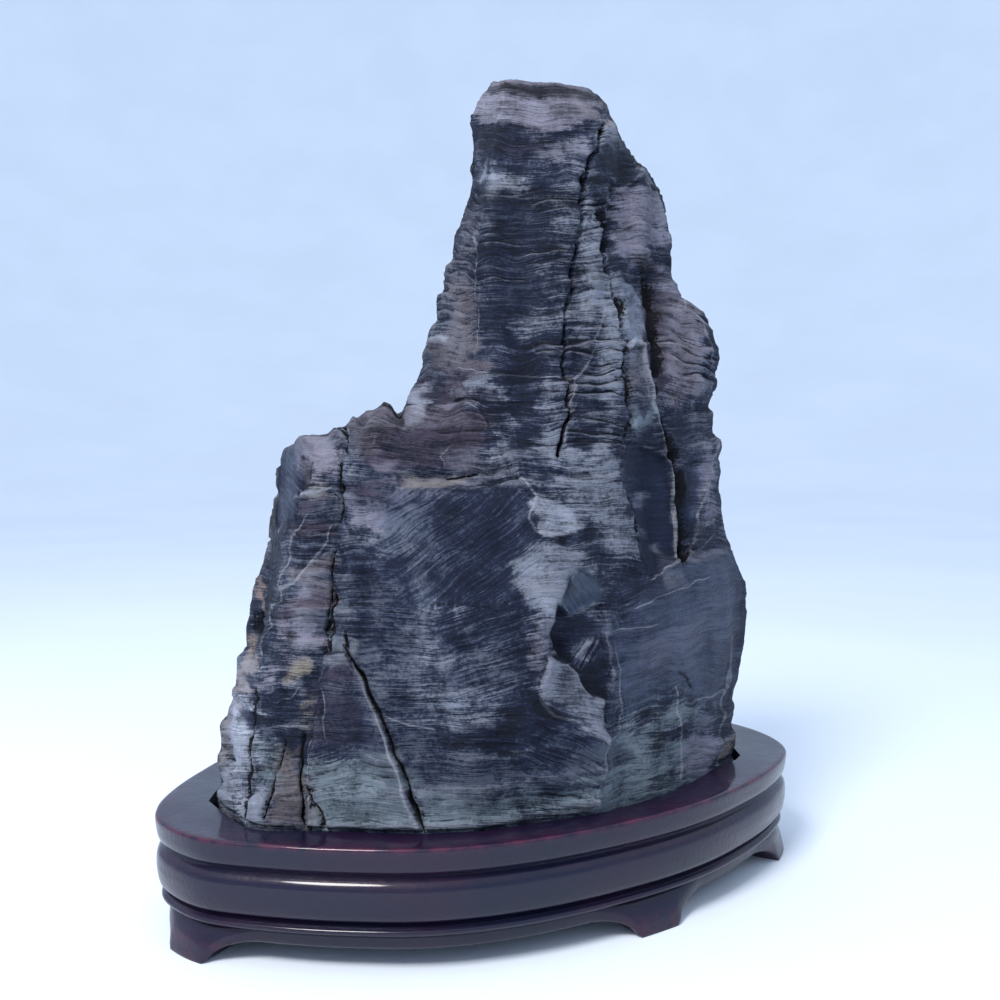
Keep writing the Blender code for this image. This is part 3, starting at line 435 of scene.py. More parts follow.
SWELLS = (
    Swell(((606, 130), (600, 180), (597, 230), (592, 300), (586, 360), (590, 420), (597, 470)), 5, 1.5),
    Swell(((566, 200), (556, 260), (548, 330), (544, 400)), 7, 0.9),
    Swell(((476, 170), (474, 240), (470, 320), (462, 380)), 4.5, -1.3),
    Swell(((488, 140), (490, 220), (492, 300), (500, 380)), 6, 0.9),
    Swell(((520, 200), (522, 300), (530, 400)), 7, -0.7),
    Swell(((613, 190), (608, 226), (606, 250)), 3, -1.2),
    Swell(((636, 180), (640, 220), (640, 268)), 4.5, 1.2),
    Swell(((654, 266), (658, 320), (662, 380), (668, 420)), 4.5, -1.9),
    Swell(((634, 195), (636, 230), (634, 262)), 7, 1.3),
    Swell(((655, 238), (662, 252), (669, 264)), 1.4, -0.9),
    Swell(((640, 346), (648, 390), (656, 412), (667, 450)), 1.6, 1.1),
    Swell(((436, 344), (446, 342)), 1.8, 1.6),
    Swell(((640, 174), (624, 186), (608, 200)), 1.2, 0.7),
    Swell(((683, 286), (700, 330), (698, 390)), 6, 1.3),
    Swell(((612, 350), (610, 400), (606, 450), (612, 500), (624, 548)), 6, 1.2),
    Swell(((648, 480), (656, 540)), 5, -0.9),
    Swell(((706, 450), (698, 500), (692, 540)), 4.5, 1.1),
    Swell(((430, 345), (458, 380), (487, 425), (515, 470), (533, 512), (546, 560), (546, 620), (534, 672)), 8,
        1.7),
    Swell(((350, 480), (352, 560), (350, 640)), 5, 0.9),
    Swell(((395, 500), (398, 580), (410, 680)), 8, -0.8),
    Swell(((450, 520), (458, 600), (470, 700), (480, 800)), 9, 0.8),
    Swell(((590, 720), (598, 770), (588, 820)), 5, 0.8),
    Swell(((540, 760), (536, 820)), 6, -0.7),
    Swell(((650, 620), (656, 700), (650, 790)), 7, 0.7),
    Swell(((694, 700), (696, 750)), 4, -0.8),
    Swell(((716, 600), (722, 680)), 5, 0.6),
    Swell(((300, 448), (318, 500), (312, 560), (300, 620)), 6, 0.9),
    Swell(((278, 470), (270, 540), (262, 600), (256, 640)), 4, -1),
    Swell(((290, 640), (284, 700), (272, 760)), 4, -0.8),
    Swell(((312, 600), (308, 660), (300, 720)), 5, 0.9),
    Swell(((242, 660), (240, 730), (232, 800)), 4.5, 1),
    Swell(((340, 670), (345, 730), (350, 800)), 7, 0.9),
    Swell(((380, 400), (420, 430), (450, 460)), 6, -0.8),
    Swell(((360, 392), (372, 420), (376, 452)), 4, 1),
    Swell(((560, 640), (574, 690)), 4, -0.6),
)

KNOBS = (
    Knob((508, 84), 28, 1.1), Knob((287, 452), 12, 1), Knob((297, 446), 11, 2.2), Knob((384, 414), 13, 2),
    Knob((399, 410), 8, -3.4), Knob((412, 402), 7, 0.8), Knob((353, 424), 8, 1.6), Knob((364, 424), 6, -1),
    Knob((335, 434), 8, 1.2), Knob((346, 432), 4, -1.2), Knob((441, 344), 9, 1.2),
)

FACETS = (
    Facet(SPLIT_CHIP, 0.9, 0.4, 1),
    Facet(((531, 505), (545, 499), (562, 507), (578, 513), (578, 530), (558, 537), (540, 533)), 1.4, -0.6,
        0.35),
    Facet(((571, 616), (604, 604), (608, 640), (613, 672), (611, 698), (603, 697), (586, 690), (574, 665),
        (560, 654), (550, 634), (558, 604)), 1.6, 1.7, 0.3),
    Facet(((556, 572), (572, 568), (562, 600), (556, 622), (540, 612), (530, 590)), 2.4, -0.9, 0.3),
    Facet(((547, 655), (566, 664), (578, 672), (586, 688), (592, 697), (604, 700), (600, 714), (603, 730),
        (606, 744), (595, 735), (580, 723), (560, 713), (545, 704), (538, 696), (541, 676)), 1.2, -1.8, 0.5),
    Facet(((398, 474), (440, 473), (478, 471), (512, 464), (520, 478), (500, 484), (450, 487), (398, 486)), 2,
        1.6, 0.3),
    Facet(((346, 655), (330, 655), (314, 730), (307, 826), (417, 826), (397, 760), (367, 686)), 1.6, -1.5),
    Facet(COLUMN_CHIP, 1, -0.9, 1),
    Facet(COLUMN_PANEL, 1.6, 1.5, 1),
    Facet(((686, 462), (704, 470), (698, 500), (691, 530), (686, 548)), 1.6, 0.8, 1),
    Facet(RIGHT_SLOPE, 2.4, -0.7),
    Facet(SMALL_CHIP, 0.8, -0.4, 1),
    Facet(SADDLE_CHIP, 1, -0.5, 1),
    Facet(((400, 490), (530, 490), (540, 560), (500, 620), (400, 600), (380, 540)), 8, 0, 0.4),
    Facet(((268, 490), (276, 450), (296, 430), (330, 428), (334, 445), (304, 462), (294, 520), (270, 520)), 3,
        0, 0.85),
    Facet(((301, 436), (334, 440), (338, 468), (318, 476), (300, 452)), 1.6, -0.6, 1),
    Facet(((302, 457), (313, 462), (312, 480), (300, 500), (296, 520), (300, 490)), 0.9, 1.2, 0.4),
    Facet(((300, 500), (330, 491), (342, 500), (336, 545), (316, 560), (296, 578), (296, 540)), 1, 0.9),
    Facet(((264, 694), (300, 688), (302, 716), (276, 726), (262, 722)), 2.2, 0.9, 0.2),
    Facet(FOOT_CHIP, 0.9, -0.9, 1),
    Facet(((237, 640), (258, 660), (256, 740), (246, 818), (236, 760)), 1.4, -0.7, 0.6),
    Facet(((348, 510), (351, 534), (341, 534)), 0.6, -0.5, 1),
    Facet(((329, 634), (345, 636), (346, 655), (330, 655)), 0.8, -0.3, 1),
    Facet(CLEFT_CHIP, 0.8, -0.3, 1),
    Facet(LOWER_PANEL, 3, 0.5, 0.85),
)

PATCHES = (
    Patch(((545, 200), (582, 196), (574, 330), (545, 332)), Tone.MIST, 0.38, 5),
    Patch(((586, 196), (600, 200), (604, 275), (578, 275)), Tone.MIST, 0.55),
    Patch(((576, 278), (614, 278), (622, 340), (622, 460), (602, 470), (600, 380), (574, 330)), Tone.MIST, 0.55,
        3),
    Patch(((578, 283), (600, 282), (601, 300), (577, 302)), Tone.FROST, 0.45),
    Patch(((540, 376), (562, 380), (562, 470), (538, 470)), Tone.MIST, 0.45, 4),
    Patch(((478, 376), (500, 380), (510, 450), (520, 480), (496, 450)), Tone.MIST, 0.45, 3),
    Patch(((600, 460), (622, 468), (636, 530), (642, 556), (602, 545), (598, 500)), Tone.MIST, 0.5, 3),
    Patch(((568, 335), (598, 342), (590, 372), (568, 372)), Tone.INK, 0.65, 2.5),
    Patch(((510, 316), (545, 316), (546, 346), (512, 347)), Tone.MIST, 0.42, 4),
    Patch(((454, 290), (477, 296), (479, 372), (452, 362)), Tone.TAUPE, 0.6, 3),
    Patch(((452, 205), (478, 208), (474, 295), (436, 300)), Tone.TAUPE, 0.35, 3),
    Patch(((482, 206), (540, 208), (538, 312), (480, 312)), Tone.NIGHT, 0.42, 7),
    Patch(((482, 346), (540, 348), (540, 372), (480, 368)), Tone.INK, 0.5, 4),
    Patch(((502, 384), (540, 384), (540, 452), (506, 452)), Tone.INK, 0.62, 4),
    Patch(((432, 356), (480, 366), (486, 430), (470, 446), (430, 430)), Tone.PLUM, 0.6, 4),
    Patch(((564, 446), (580, 450), (592, 460), (566, 462)), Tone.MIST, 0.6, 1),
    Patch(((572, 398), (600, 396), (602, 440), (590, 452), (570, 444)), Tone.INK, 0.65, 2.5),
    Patch(((575, 462), (602, 466), (598, 520), (572, 520)), Tone.MIST, 0.42, 3),
    Patch(((545, 545), (580, 556), (600, 572), (578, 566), (566, 590), (545, 600), (522, 580), (524, 556)),
        Tone.MIST, 0.4, 4),
    Patch(((602, 546), (645, 562), (652, 590), (630, 602), (604, 590)), Tone.INK, 0.55, 3),
    Patch(((400, 490), (470, 490), (480, 530), (420, 545), (396, 520)), Tone.SLATE, 0.3, 8),
    Patch(((340, 560), (400, 556), (400, 650), (344, 650)), Tone.INK, 0.42, 6),
    Patch(((355, 575), (372, 574), (370, 600), (350, 600)), Tone.MIST, 0.25, 4),
    Patch(((430, 600), (462, 602), (466, 616), (436, 618)), Tone.MIST, 0.42, 3),
    Patch(((466, 622), (500, 624), (496, 634), (470, 632)), Tone.BLUE, 0.7),
    Patch(((400, 640), (430, 636), (444, 664), (410, 668)), Tone.MIST, 0.3, 4),
    Patch(((420, 690), (520, 690), (520, 712), (430, 712)), Tone.MIST, 0.28, 5),
    Patch(((350, 700), (470, 720), (480, 780), (400, 770)), Tone.INK, 0.42, 8),
    Patch(((300, 556), (328, 552), (326, 612), (300, 606)), Tone.TAUPE, 0.6, 3),
    Patch(((262, 664), (282, 660), (282, 690), (262, 690)), Tone.MAUVE, 0.5),
    Patch(((346, 424), (362, 430), (356, 460), (344, 470)), Tone.MIST, 0.3, 2.5),
    Patch(((362, 414), (384, 404), (398, 420), (380, 440), (362, 440)), Tone.TAUPE, 0.5, 3),
    Patch(((482, 78), (596, 82), (600, 92), (590, 96), (484, 90)), Tone.MAUVE, 0.9, 1.5),
    Patch(((482, 92), (600, 96), (606, 118), (560, 128), (480, 126)), Tone.MAUVE, 0.95),
    Patch(((490, 96), (560, 98), (556, 112), (488, 112)), Tone.FROST, 0.22, 3),
    Patch(((588, 100), (610, 106), (606, 124), (584, 122)), Tone.PEACH, 0.5, 2.5),
    Patch(((470, 172), (526, 174), (530, 190), (500, 195), (486, 190)), Tone.MIST, 0.36, 3),
    Patch(((476, 190), (560, 188), (584, 194), (580, 204), (478, 202)), Tone.NIGHT, 0.5),
    Patch(((556, 140), (592, 138), (584, 176), (552, 180)), Tone.MAUVE, 0.35, 4),
    Patch(((545, 134), (592, 132), (590, 158), (545, 160)), Tone.MIST, 0.35, 3),
    Patch(((480, 134), (545, 132), (560, 160), (478, 164)), Tone.PLUM, 0.55, 3),
    Patch(((600, 124), (616, 128), (614, 148), (600, 150)), Tone.MIST, 0.6),
    # painted shade in the hollow under the pale facet
    Patch(((596, 156), (632, 154), (628, 178), (598, 180)), Tone.NIGHT, 0.6, 3),
    Patch(((612, 186), (652, 184), (658, 268), (618, 270)), Tone.MAUVE, 0.6, 2.5),
    Patch(((606, 100), (612, 100), (642, 164), (658, 190), (672, 240), (664, 240), (650, 192), (636, 168)),
        Tone.MIST, 0.7, 1.5),
    # painted shade down the deep hollow between the column and the outer rib
    Patch(((630, 258), (662, 262), (660, 340), (655, 380), (646, 360), (645, 300)), Tone.NIGHT, 0.75, 2.5),
    Patch(COLUMN_CHIP, Tone.MIST, 0.55, 1.2),
    Patch(RIGHT_SLOPE, Tone.MAUVE, 0.6, 3),
    Patch(((664, 340), (700, 352), (700, 398), (668, 404)), Tone.RUST, 0.3, 3),
    Patch(((640, 350), (650, 402), (664, 440), (668, 458), (660, 440), (648, 405), (638, 372)), Tone.MIST, 0.6,
        1.2),
    Patch(COLUMN_PANEL, Tone.INK, 0.8),
    Patch(((672, 462), (679, 464), (681, 510), (682, 556), (677, 556), (674, 510)), Tone.SAND, 0.6, 0.7),
    Patch(((664, 436), (672, 450), (676, 468), (668, 466), (664, 450)), Tone.RUST, 0.7, 1),
    Patch(((681, 466), (690, 470), (690, 556), (683, 556)), Tone.NIGHT, 0.9, 1),
    Patch(((656, 542), (663, 540), (661, 550), (656, 550)), Tone.MIST, 0.6, 0.6),
    Patch(((696, 468), (716, 440), (720, 480), (714, 520), (694, 536)), Tone.MAUVE, 0.5),
    Patch(SMALL_CHIP, Tone.SAGE, 0.8, 0.8),
    Patch(((568, 375), (574, 376), (574, 402), (568, 402)), Tone.RUST, 0.7, 1),
    Patch(((574, 262), (604, 262), (604, 300), (572, 330)), Tone.MIST, 0.3, 3),
    Patch(((572, 384), (600, 384), (604, 420), (596, 450), (566, 448)), Tone.INK, 0.5, 3),
    Patch(((588, 372), (606, 380), (600, 392), (590, 386)), Tone.MIST, 0.35),
    Patch(((560, 455), (600, 450), (622, 470), (636, 520), (640, 560), (600, 560), (572, 520)), Tone.MIST, 0.3,
        4),
    Patch(((480, 196), (575, 198), (566, 330), (478, 330)), Tone.INK, 0.45, 5),
    Patch(((444, 330), (466, 328), (462, 366), (440, 372), (428, 352)), Tone.MIST, 0.4),
    Patch(SADDLE_CHIP, Tone.MIST, 0.6, 1.5),
    Patch(((350, 420), (400, 404), (480, 424), (484, 466), (400, 470), (350, 452)), Tone.PLUM, 0.75, 3),
    Patch(((373, 458), (398, 460), (392, 470), (376, 468)), Tone.MAUVE, 0.7, 1.2),
    Patch(((398, 474), (440, 474), (470, 473), (470, 481), (440, 486), (398, 486)), Tone.SAND, 0.85, 1.2),
    Patch(((466, 470), (512, 464), (514, 474), (470, 481)), Tone.MIST, 0.7, 1.5),
    Patch(((440, 448), (500, 446), (504, 466), (446, 472)), Tone.MIST, 0.35, 2.5),
    Patch(((357, 512), (388, 508), (390, 526), (372, 531), (357, 522)), Tone.MAUVE, 0.75),
    Patch(((350, 534), (368, 536), (372, 552), (352, 560)), Tone.MIST, 0.4, 2.5),
    Patch(((520, 478), (530, 488), (538, 500), (532, 512), (529, 520), (535, 532), (548, 537), (575, 534),
        (580, 520), (566, 492), (540, 478)), Tone.MIST, 0.3),
    Patch(((549, 539), (571, 538), (562, 548)), Tone.NIGHT, 0.9, 0.8),
    Patch(((524, 548), (560, 544), (575, 566), (562, 600), (556, 622), (540, 616), (526, 590)), Tone.MIST, 0.6,
        3),
    Patch(SPLIT_CHIP, Tone.BLUE, 1, 0.4),
    Patch(((571, 616), (590, 606), (604, 604), (607, 622), (590, 618)), Tone.MIST, 0.5, 1.2),
    Patch(((558, 606), (571, 618), (604, 622), (606, 634), (592, 640), (564, 632), (552, 632)), Tone.INK, 0.8,
        1.5),
    Patch(((550, 634), (566, 640), (572, 662), (560, 656)), Tone.NIGHT, 0.7, 1.2),
    Patch(((604, 640), (612, 670), (610, 696), (600, 694), (588, 686), (594, 660)), Tone.INK, 0.85, 1.5),
    Patch(((578, 644), (602, 640), (598, 660), (580, 672)), Tone.MIST, 0.6),
    Patch(((547, 655), (566, 664), (578, 672), (586, 688), (592, 697), (604, 700), (600, 714), (606, 744),
        (580, 723), (545, 704), (538, 696), (541, 676)), Tone.MIST, 0.65, 1.5),
    Patch(((560, 676), (576, 682), (566, 700)), Tone.RUST, 0.3, 1.5),
    Patch(((524, 640), (546, 616), (548, 654), (538, 692), (522, 672)), Tone.MAUVE, 0.7, 3),
    Patch(((560, 700), (610, 752), (560, 780), (500, 760), (480, 700)), Tone.INK, 0.35, 6),
    Patch(((276, 448), (304, 442), (306, 460), (300, 490), (292, 520), (276, 520)), Tone.SLATE, 0.5),
    Patch(((290, 438), (336, 432), (342, 470), (318, 478), (300, 454)), Tone.MAUVE, 0.38),
    Patch(((302, 457), (313, 462), (312, 480), (302, 498)), Tone.PLUM, 0.9, 1),
    Patch(((310, 478), (334, 477), (330, 492), (308, 496)), Tone.SAND, 0.35, 1.5),
    Patch(((298, 500), (330, 494), (330, 512), (298, 518)), Tone.PLUM, 0.5),
    Patch(((348, 476), (396, 472), (392, 506), (350, 508)), Tone.PLUM, 0.5, 3),
    Patch(((282, 524), (332, 520), (332, 536), (286, 540)), Tone.PLUM, 0.7),
    Patch(((288, 560), (330, 558), (326, 600), (284, 600)), Tone.MAUVE, 0.3, 3),
    Patch(((282, 596), (330, 590), (326, 618), (280, 622)), Tone.PLUM, 0.7),
    Patch(((280, 625), (326, 618), (324, 660), (276, 660)), Tone.MAUVE, 0.6, 3),
    Patch(((284, 664), (304, 661), (308, 678), (286, 681)), Tone.SAND, 0.9, 1.5),
    Patch(((284, 680), (306, 678), (300, 688), (286, 688)), Tone.MIST, 0.6, 1.2),
    Patch(((264, 694), (300, 688), (302, 716), (276, 728), (262, 722)), Tone.INK, 0.65, 2.5),
    Patch(((300, 706), (313, 704), (312, 726), (300, 728)), Tone.SAND, 0.45, 1.5),
    Patch(((253, 576), (258, 576), (262, 612), (256, 614)), Tone.PEACH, 0.8, 0.8),
    Patch(((248, 634), (256, 632), (253, 690), (246, 692)), Tone.PEACH, 0.8, 1),
    Patch(((240, 655), (256, 650), (256, 740), (246, 810), (238, 770)), Tone.FROST, 0.5),
    Patch(((222, 716), (237, 712), (236, 752), (222, 758)), Tone.PEACH, 0.3),
    Patch(((216, 690), (240, 690), (244, 816), (216, 812)), Tone.MIST, 0.75, 3),
    Patch(((222, 770), (238, 766), (236, 782), (222, 784)), Tone.FROST, 0.7, 1.5),
    Patch(FOOT_CHIP, Tone.MIST, 0.8, 1),
    Patch(((252, 740), (276, 736), (272, 786), (252, 790)), Tone.SAGE, 0.6, 3),
    Patch(((276, 744), (304, 740), (304, 824), (264, 822)), Tone.TAUPE, 0.8, 2.5),
    Patch(((278, 752), (300, 748), (300, 800), (272, 806)), Tone.SAND, 0.2, 2.5),
    Patch(((328, 634), (345, 636), (346, 655), (330, 655)), Tone.SAGE, 0.7, 1),
    Patch(CLEFT_CHIP, Tone.SAGE, 0.8, 1),
    Patch(((330, 657), (350, 657), (366, 700), (376, 740), (308, 746), (318, 690)), Tone.PLUM, 0.6, 3),
    Patch(((306, 756), (400, 746), (414, 780), (418, 828), (306, 828)), Tone.SAGE, 0.7, 3),
    Patch(((310, 808), (318, 808), (318, 826), (309, 826)), Tone.SAND, 0.4, 1),
    Patch(((420, 780), (600, 776), (600, 840), (424, 836)), Tone.SAGE, 0.55, 8),
    Patch(((600, 770), (612, 744), (660, 706), (680, 696), (680, 790), (594, 822)), Tone.SAGE, 0.65, 4),
    Patch(((682, 740), (716, 736), (714, 780), (681, 786)), Tone.MAUVE, 0.8, 2.5),
    Patch(((680, 706), (698, 706), (696, 722), (680, 722)), Tone.SAGE, 0.6),
    Patch(((719, 740), (734, 728), (732, 758), (718, 768)), Tone.SAND, 0.85, 1.2),
    Patch(LOWER_PANEL, Tone.SLATE, 0.6, 4),
    Patch(((648, 640), (712, 600), (714, 640), (660, 680)), Tone.MAUVE, 0.3, 6),
    Patch(((480, 87), (520, 85), (556, 84), (592, 92), (588, 98), (556, 96), (520, 92), (481, 92)), Tone.NIGHT,
        0.95, 0.8),
    Patch(((546, 105), (580, 104), (582, 115), (552, 117)), Tone.NIGHT, 0.5, 1.5),
    Patch(((498, 125), (540, 125), (540, 129), (500, 129)), Tone.NIGHT, 0.7, 1),
    Patch(((482, 113), (502, 115), (502, 124), (486, 124)), Tone.FROST, 0.4, 1.5),
    Patch(((476, 128), (500, 130), (500, 152), (478, 152)), Tone.NIGHT, 0.65),
    Patch(((470, 193), (500, 197), (560, 197), (582, 202), (580, 208), (520, 209), (468, 206)), Tone.NIGHT,
        0.75, 1.5),
    Patch(((484, 177), (520, 178), (516, 190), (500, 196), (486, 192)), Tone.FROST, 0.5, 1.5),
    Patch(((514, 187), (532, 188), (530, 192), (514, 192)), Tone.FROST, 0.7, 0.8),
    Patch(((603, 126), (612, 124), (617, 138), (604, 139)), Tone.FROST, 0.55, 0.9),
    Patch(((601, 132), (616, 132), (616, 137), (602, 137)), Tone.NIGHT, 0.6, 0.8),
    Patch(((600, 143), (610, 141), (622, 146), (620, 149), (602, 149)), Tone.NIGHT, 0.7, 0.8),
    # painted shade in the hollow under the pale facet
    Patch(((600, 160), (628, 158), (634, 170), (626, 178), (602, 176)), Tone.NIGHT, 0.8, 1.5),
    Patch(((599, 204), (612, 202), (612, 250), (604, 248), (598, 225)), Tone.NIGHT, 0.65),
    Patch(((620, 190), (650, 192), (654, 250), (640, 262), (620, 258)), Tone.MAUVE, 0.55, 4),
    Patch(((632, 260), (656, 260), (654, 276), (634, 276)), Tone.NIGHT, 0.8),
    # painted shade down the deep hollow between the column and the outer rib
    Patch(((642, 288), (662, 292), (660, 400), (648, 396), (644, 340)), Tone.PLUM, 0.8),
    Patch(((621, 340), (640, 336), (641, 346), (624, 349)), Tone.FROST, 0.75, 0.9),
    Patch(((624, 352), (642, 352), (646, 380), (640, 402), (628, 392)), Tone.TAUPE, 0.6, 1.5),
    Patch(((663, 300), (700, 312), (706, 350), (690, 372), (662, 366)), Tone.TAUPE, 0.5, 3),
    Patch(((436, 338), (446, 336), (451, 343), (446, 347), (437, 345)), Tone.FROST, 0.95, 0.7),
    Patch(((430, 346), (450, 348), (448, 372), (430, 372)), Tone.RUST, 0.45),
    Patch(((400, 418), (406, 400), (424, 380), (431, 388), (424, 420), (416, 427)), Tone.FROST, 0.4, 1.5),
    Patch(((532, 506), (545, 500), (562, 508), (578, 514), (578, 530), (558, 536), (540, 532)), Tone.FROST, 0.6,
        1.5),
    Patch(((538, 531), (556, 534), (577, 529), (576, 534), (558, 538), (540, 536)), Tone.FROST, 0.9, 0.7),
    Patch(((545, 598), (560, 596), (556, 616), (546, 614)), Tone.FROST, 0.4, 1.5),
    Patch(((490, 88), (510, 86), (560, 88), (596, 93), (600, 100), (560, 97), (520, 95), (488, 96)), Tone.NIGHT,
        0.8, 1),
    Patch(((484, 79), (500, 77), (560, 80), (592, 85), (592, 89), (556, 84), (520, 84), (484, 86)), Tone.MAUVE,
        0.9, 0.7),
)

BEDS = (
    Beds(((300, 380), (600, 60), (520, 60), (440, 300)), 4, 10),
    Beds(((440, 190), (540, 190), (540, 350), (400, 350)), 3, 6, 1),
    Beds(((530, 195), (582, 195), (570, 340), (562, 400), (536, 400)), 2, 5, 1.3),
    Beds(((390, 490), (530, 490), (540, 560), (500, 620), (400, 600), (380, 540)), 36, 14),
    Beds(((430, 600), (545, 600), (545, 700), (460, 700)), 14, 10),
    Beds(((540, 700), (610, 745), (600, 800), (520, 760)), -26, 10),
    Beds(((622, 590), (660, 570), (745, 560), (745, 700), (700, 790), (600, 810), (616, 700)), 17, 5, 0.6),
    Beds(((570, 450), (622, 450), (646, 570), (600, 570), (580, 520)), -4),
    Beds(((650, 262), (690, 290), (722, 350), (716, 384), (690, 404), (660, 410)), -24, 5, 1.5),
    Beds(((584, 196), (603, 200), (608, 270), (622, 290), (624, 450), (566, 450), (566, 330)), -3, 3, 1.5),
    Beds(((612, 190), (655, 190), (660, 262), (612, 262)), 3, 3, 0.35),
    Beds(((274, 446), (304, 442), (304, 500), (290, 520), (276, 520)), -52, 2),
    Beds(((306, 746), (352, 740), (346, 828), (306, 828)), 16, 14, 0.9),
    Beds(((366, 740), (404, 760), (418, 828), (364, 828)), -12, 14, 0.9),
    Beds(SPLIT_CHIP, -56, 1, 0.5),
    Beds(((578, 642), (604, 638), (600, 664), (576, 676)), 60, 1.5, 1.2),
)


def eased(share: Array) -> Array:
    """A smooth step from 0 to 1 as share goes from 0 to 1."""
    share = np.clip(share, 0.0, 1.0)
    return share * share * (3.0 - 2.0 * share)


def lattice_noise(points: Array, seed: int) -> Array:
    """Smooth noise, one cell to a unit, the same on each run.

    Args:
        points: where it is read.
        seed: which noise it is.

    Returns:
        a value from -1 to 1 at each point.
    """
    cell = np.floor(points).astype(np.int64)
    blend = eased(points - cell)
    total = np.zeros(len(points))
    for corner in range(8):
        step = np.array([(corner >> axis) & 1 for axis in range(3)])
        at = cell + step
        mixed = np.bitwise_xor.reduce(at * CELL_PRIMES, axis=1) ^ (seed * SEED_PRIME)
        mixed = ((mixed ^ (mixed >> 13)) * MIXING_PRIME) & 0xFFFFFFFF
        value = ((mixed ^ (mixed >> 16)) & 0xFFFF) / HALF_WORD - 1.0
        total += value * np.prod(np.where(step, blend, 1.0 - blend), axis=1)
    return total


def layered_noise(points: Array, size: float, octaves: int, seed: int) -> Array:
    """Noise of several sizes, each half as large and half as strong as the one before.

    Args:
        points: where it is read.
        size: the largest cell.
        octaves: how many sizes.
        seed: the noise of the largest size.

    Returns:
        a value at each point.
    """
    total, strength = np.zeros(len(points)), 1.0
    for octave in range(octaves):
        total += strength * lattice_noise(points / size * 2.0 ** octave, seed + octave)
        strength *= 0.5
    return total


def distance_to_line(places: Array, path: Path) -> Array:
    """How far places are from a polyline.

    Args:
        places: 2-D places.
        path: the polyline's points.

    Returns:
        the distance of each place.
    """
    nearest = np.full(len(places), np.inf)
    for start, end in zip(path[:-1], path[1:]):
        start, along = np.array(start, float), np.subtract(end, start).astype(float)
        share = np.clip((places - start) @ along / (along @ along), 0.0, 1.0)
        gap = places - start - share[:, None] * along
        nearest = np.minimum(nearest, np.hypot(gap[:, 0], gap[:, 1]))
    return nearest


def signed_distance(places: Array, path: Path) -> Array:
    """How far places are from a polyline, negative on its left side.

    Args:
        places: 2-D places.
        path: the polyline's points.

    Returns:
        the signed distance of each place.
    """
    nearest, signed = np.full(len(places), np.inf), np.zeros(len(places))
    for start, end in zip(path[:-1], path[1:]):
        start, along = np.array(start, float), np.subtract(end, start).astype(float)
        share = np.clip((places - start) @ along / (along @ along), 0.0, 1.0)
        gap = places - start - share[:, None] * along
        distance = np.hypot(gap[:, 0], gap[:, 1])
        side = np.sign(along[0] * gap[:, 1] - along[1] * gap[:, 0])
        closer = distance < nearest
        nearest[closer], signed[closer] = distance[closer], (side * distance)[closer]
    return signed


def inside(places: Array, outline: Path) -> Array:
    """Which places are inside a closed outline.

    Args:
        places: 2-D places.
        outline: the outline's points.

    Returns:
        True for each place inside.
    """
    result = np.zeros(len(places), bool)
    for (x0, y0), (x1, y1) in zip(outline, outline[1:] + outline[:1]):
        if y0 == y1:
            continue
        crosses = (places[:, 1] > y0) != (places[:, 1] > y1)
        result ^= crosses & (places[:, 0] < (x1 - x0) * (places[:, 1] - y0) / (y1 - y0) + x0)
    return result


def sawtooth(phase: Array, ledge: float) -> Array:
    """Steps that swell over the ledge's share of a turn and then drop back, from 0 to 1."""
    step = phase - np.floor(phase)
    return eased(step / ledge) - eased((step - ledge) / (1.0 - ledge))


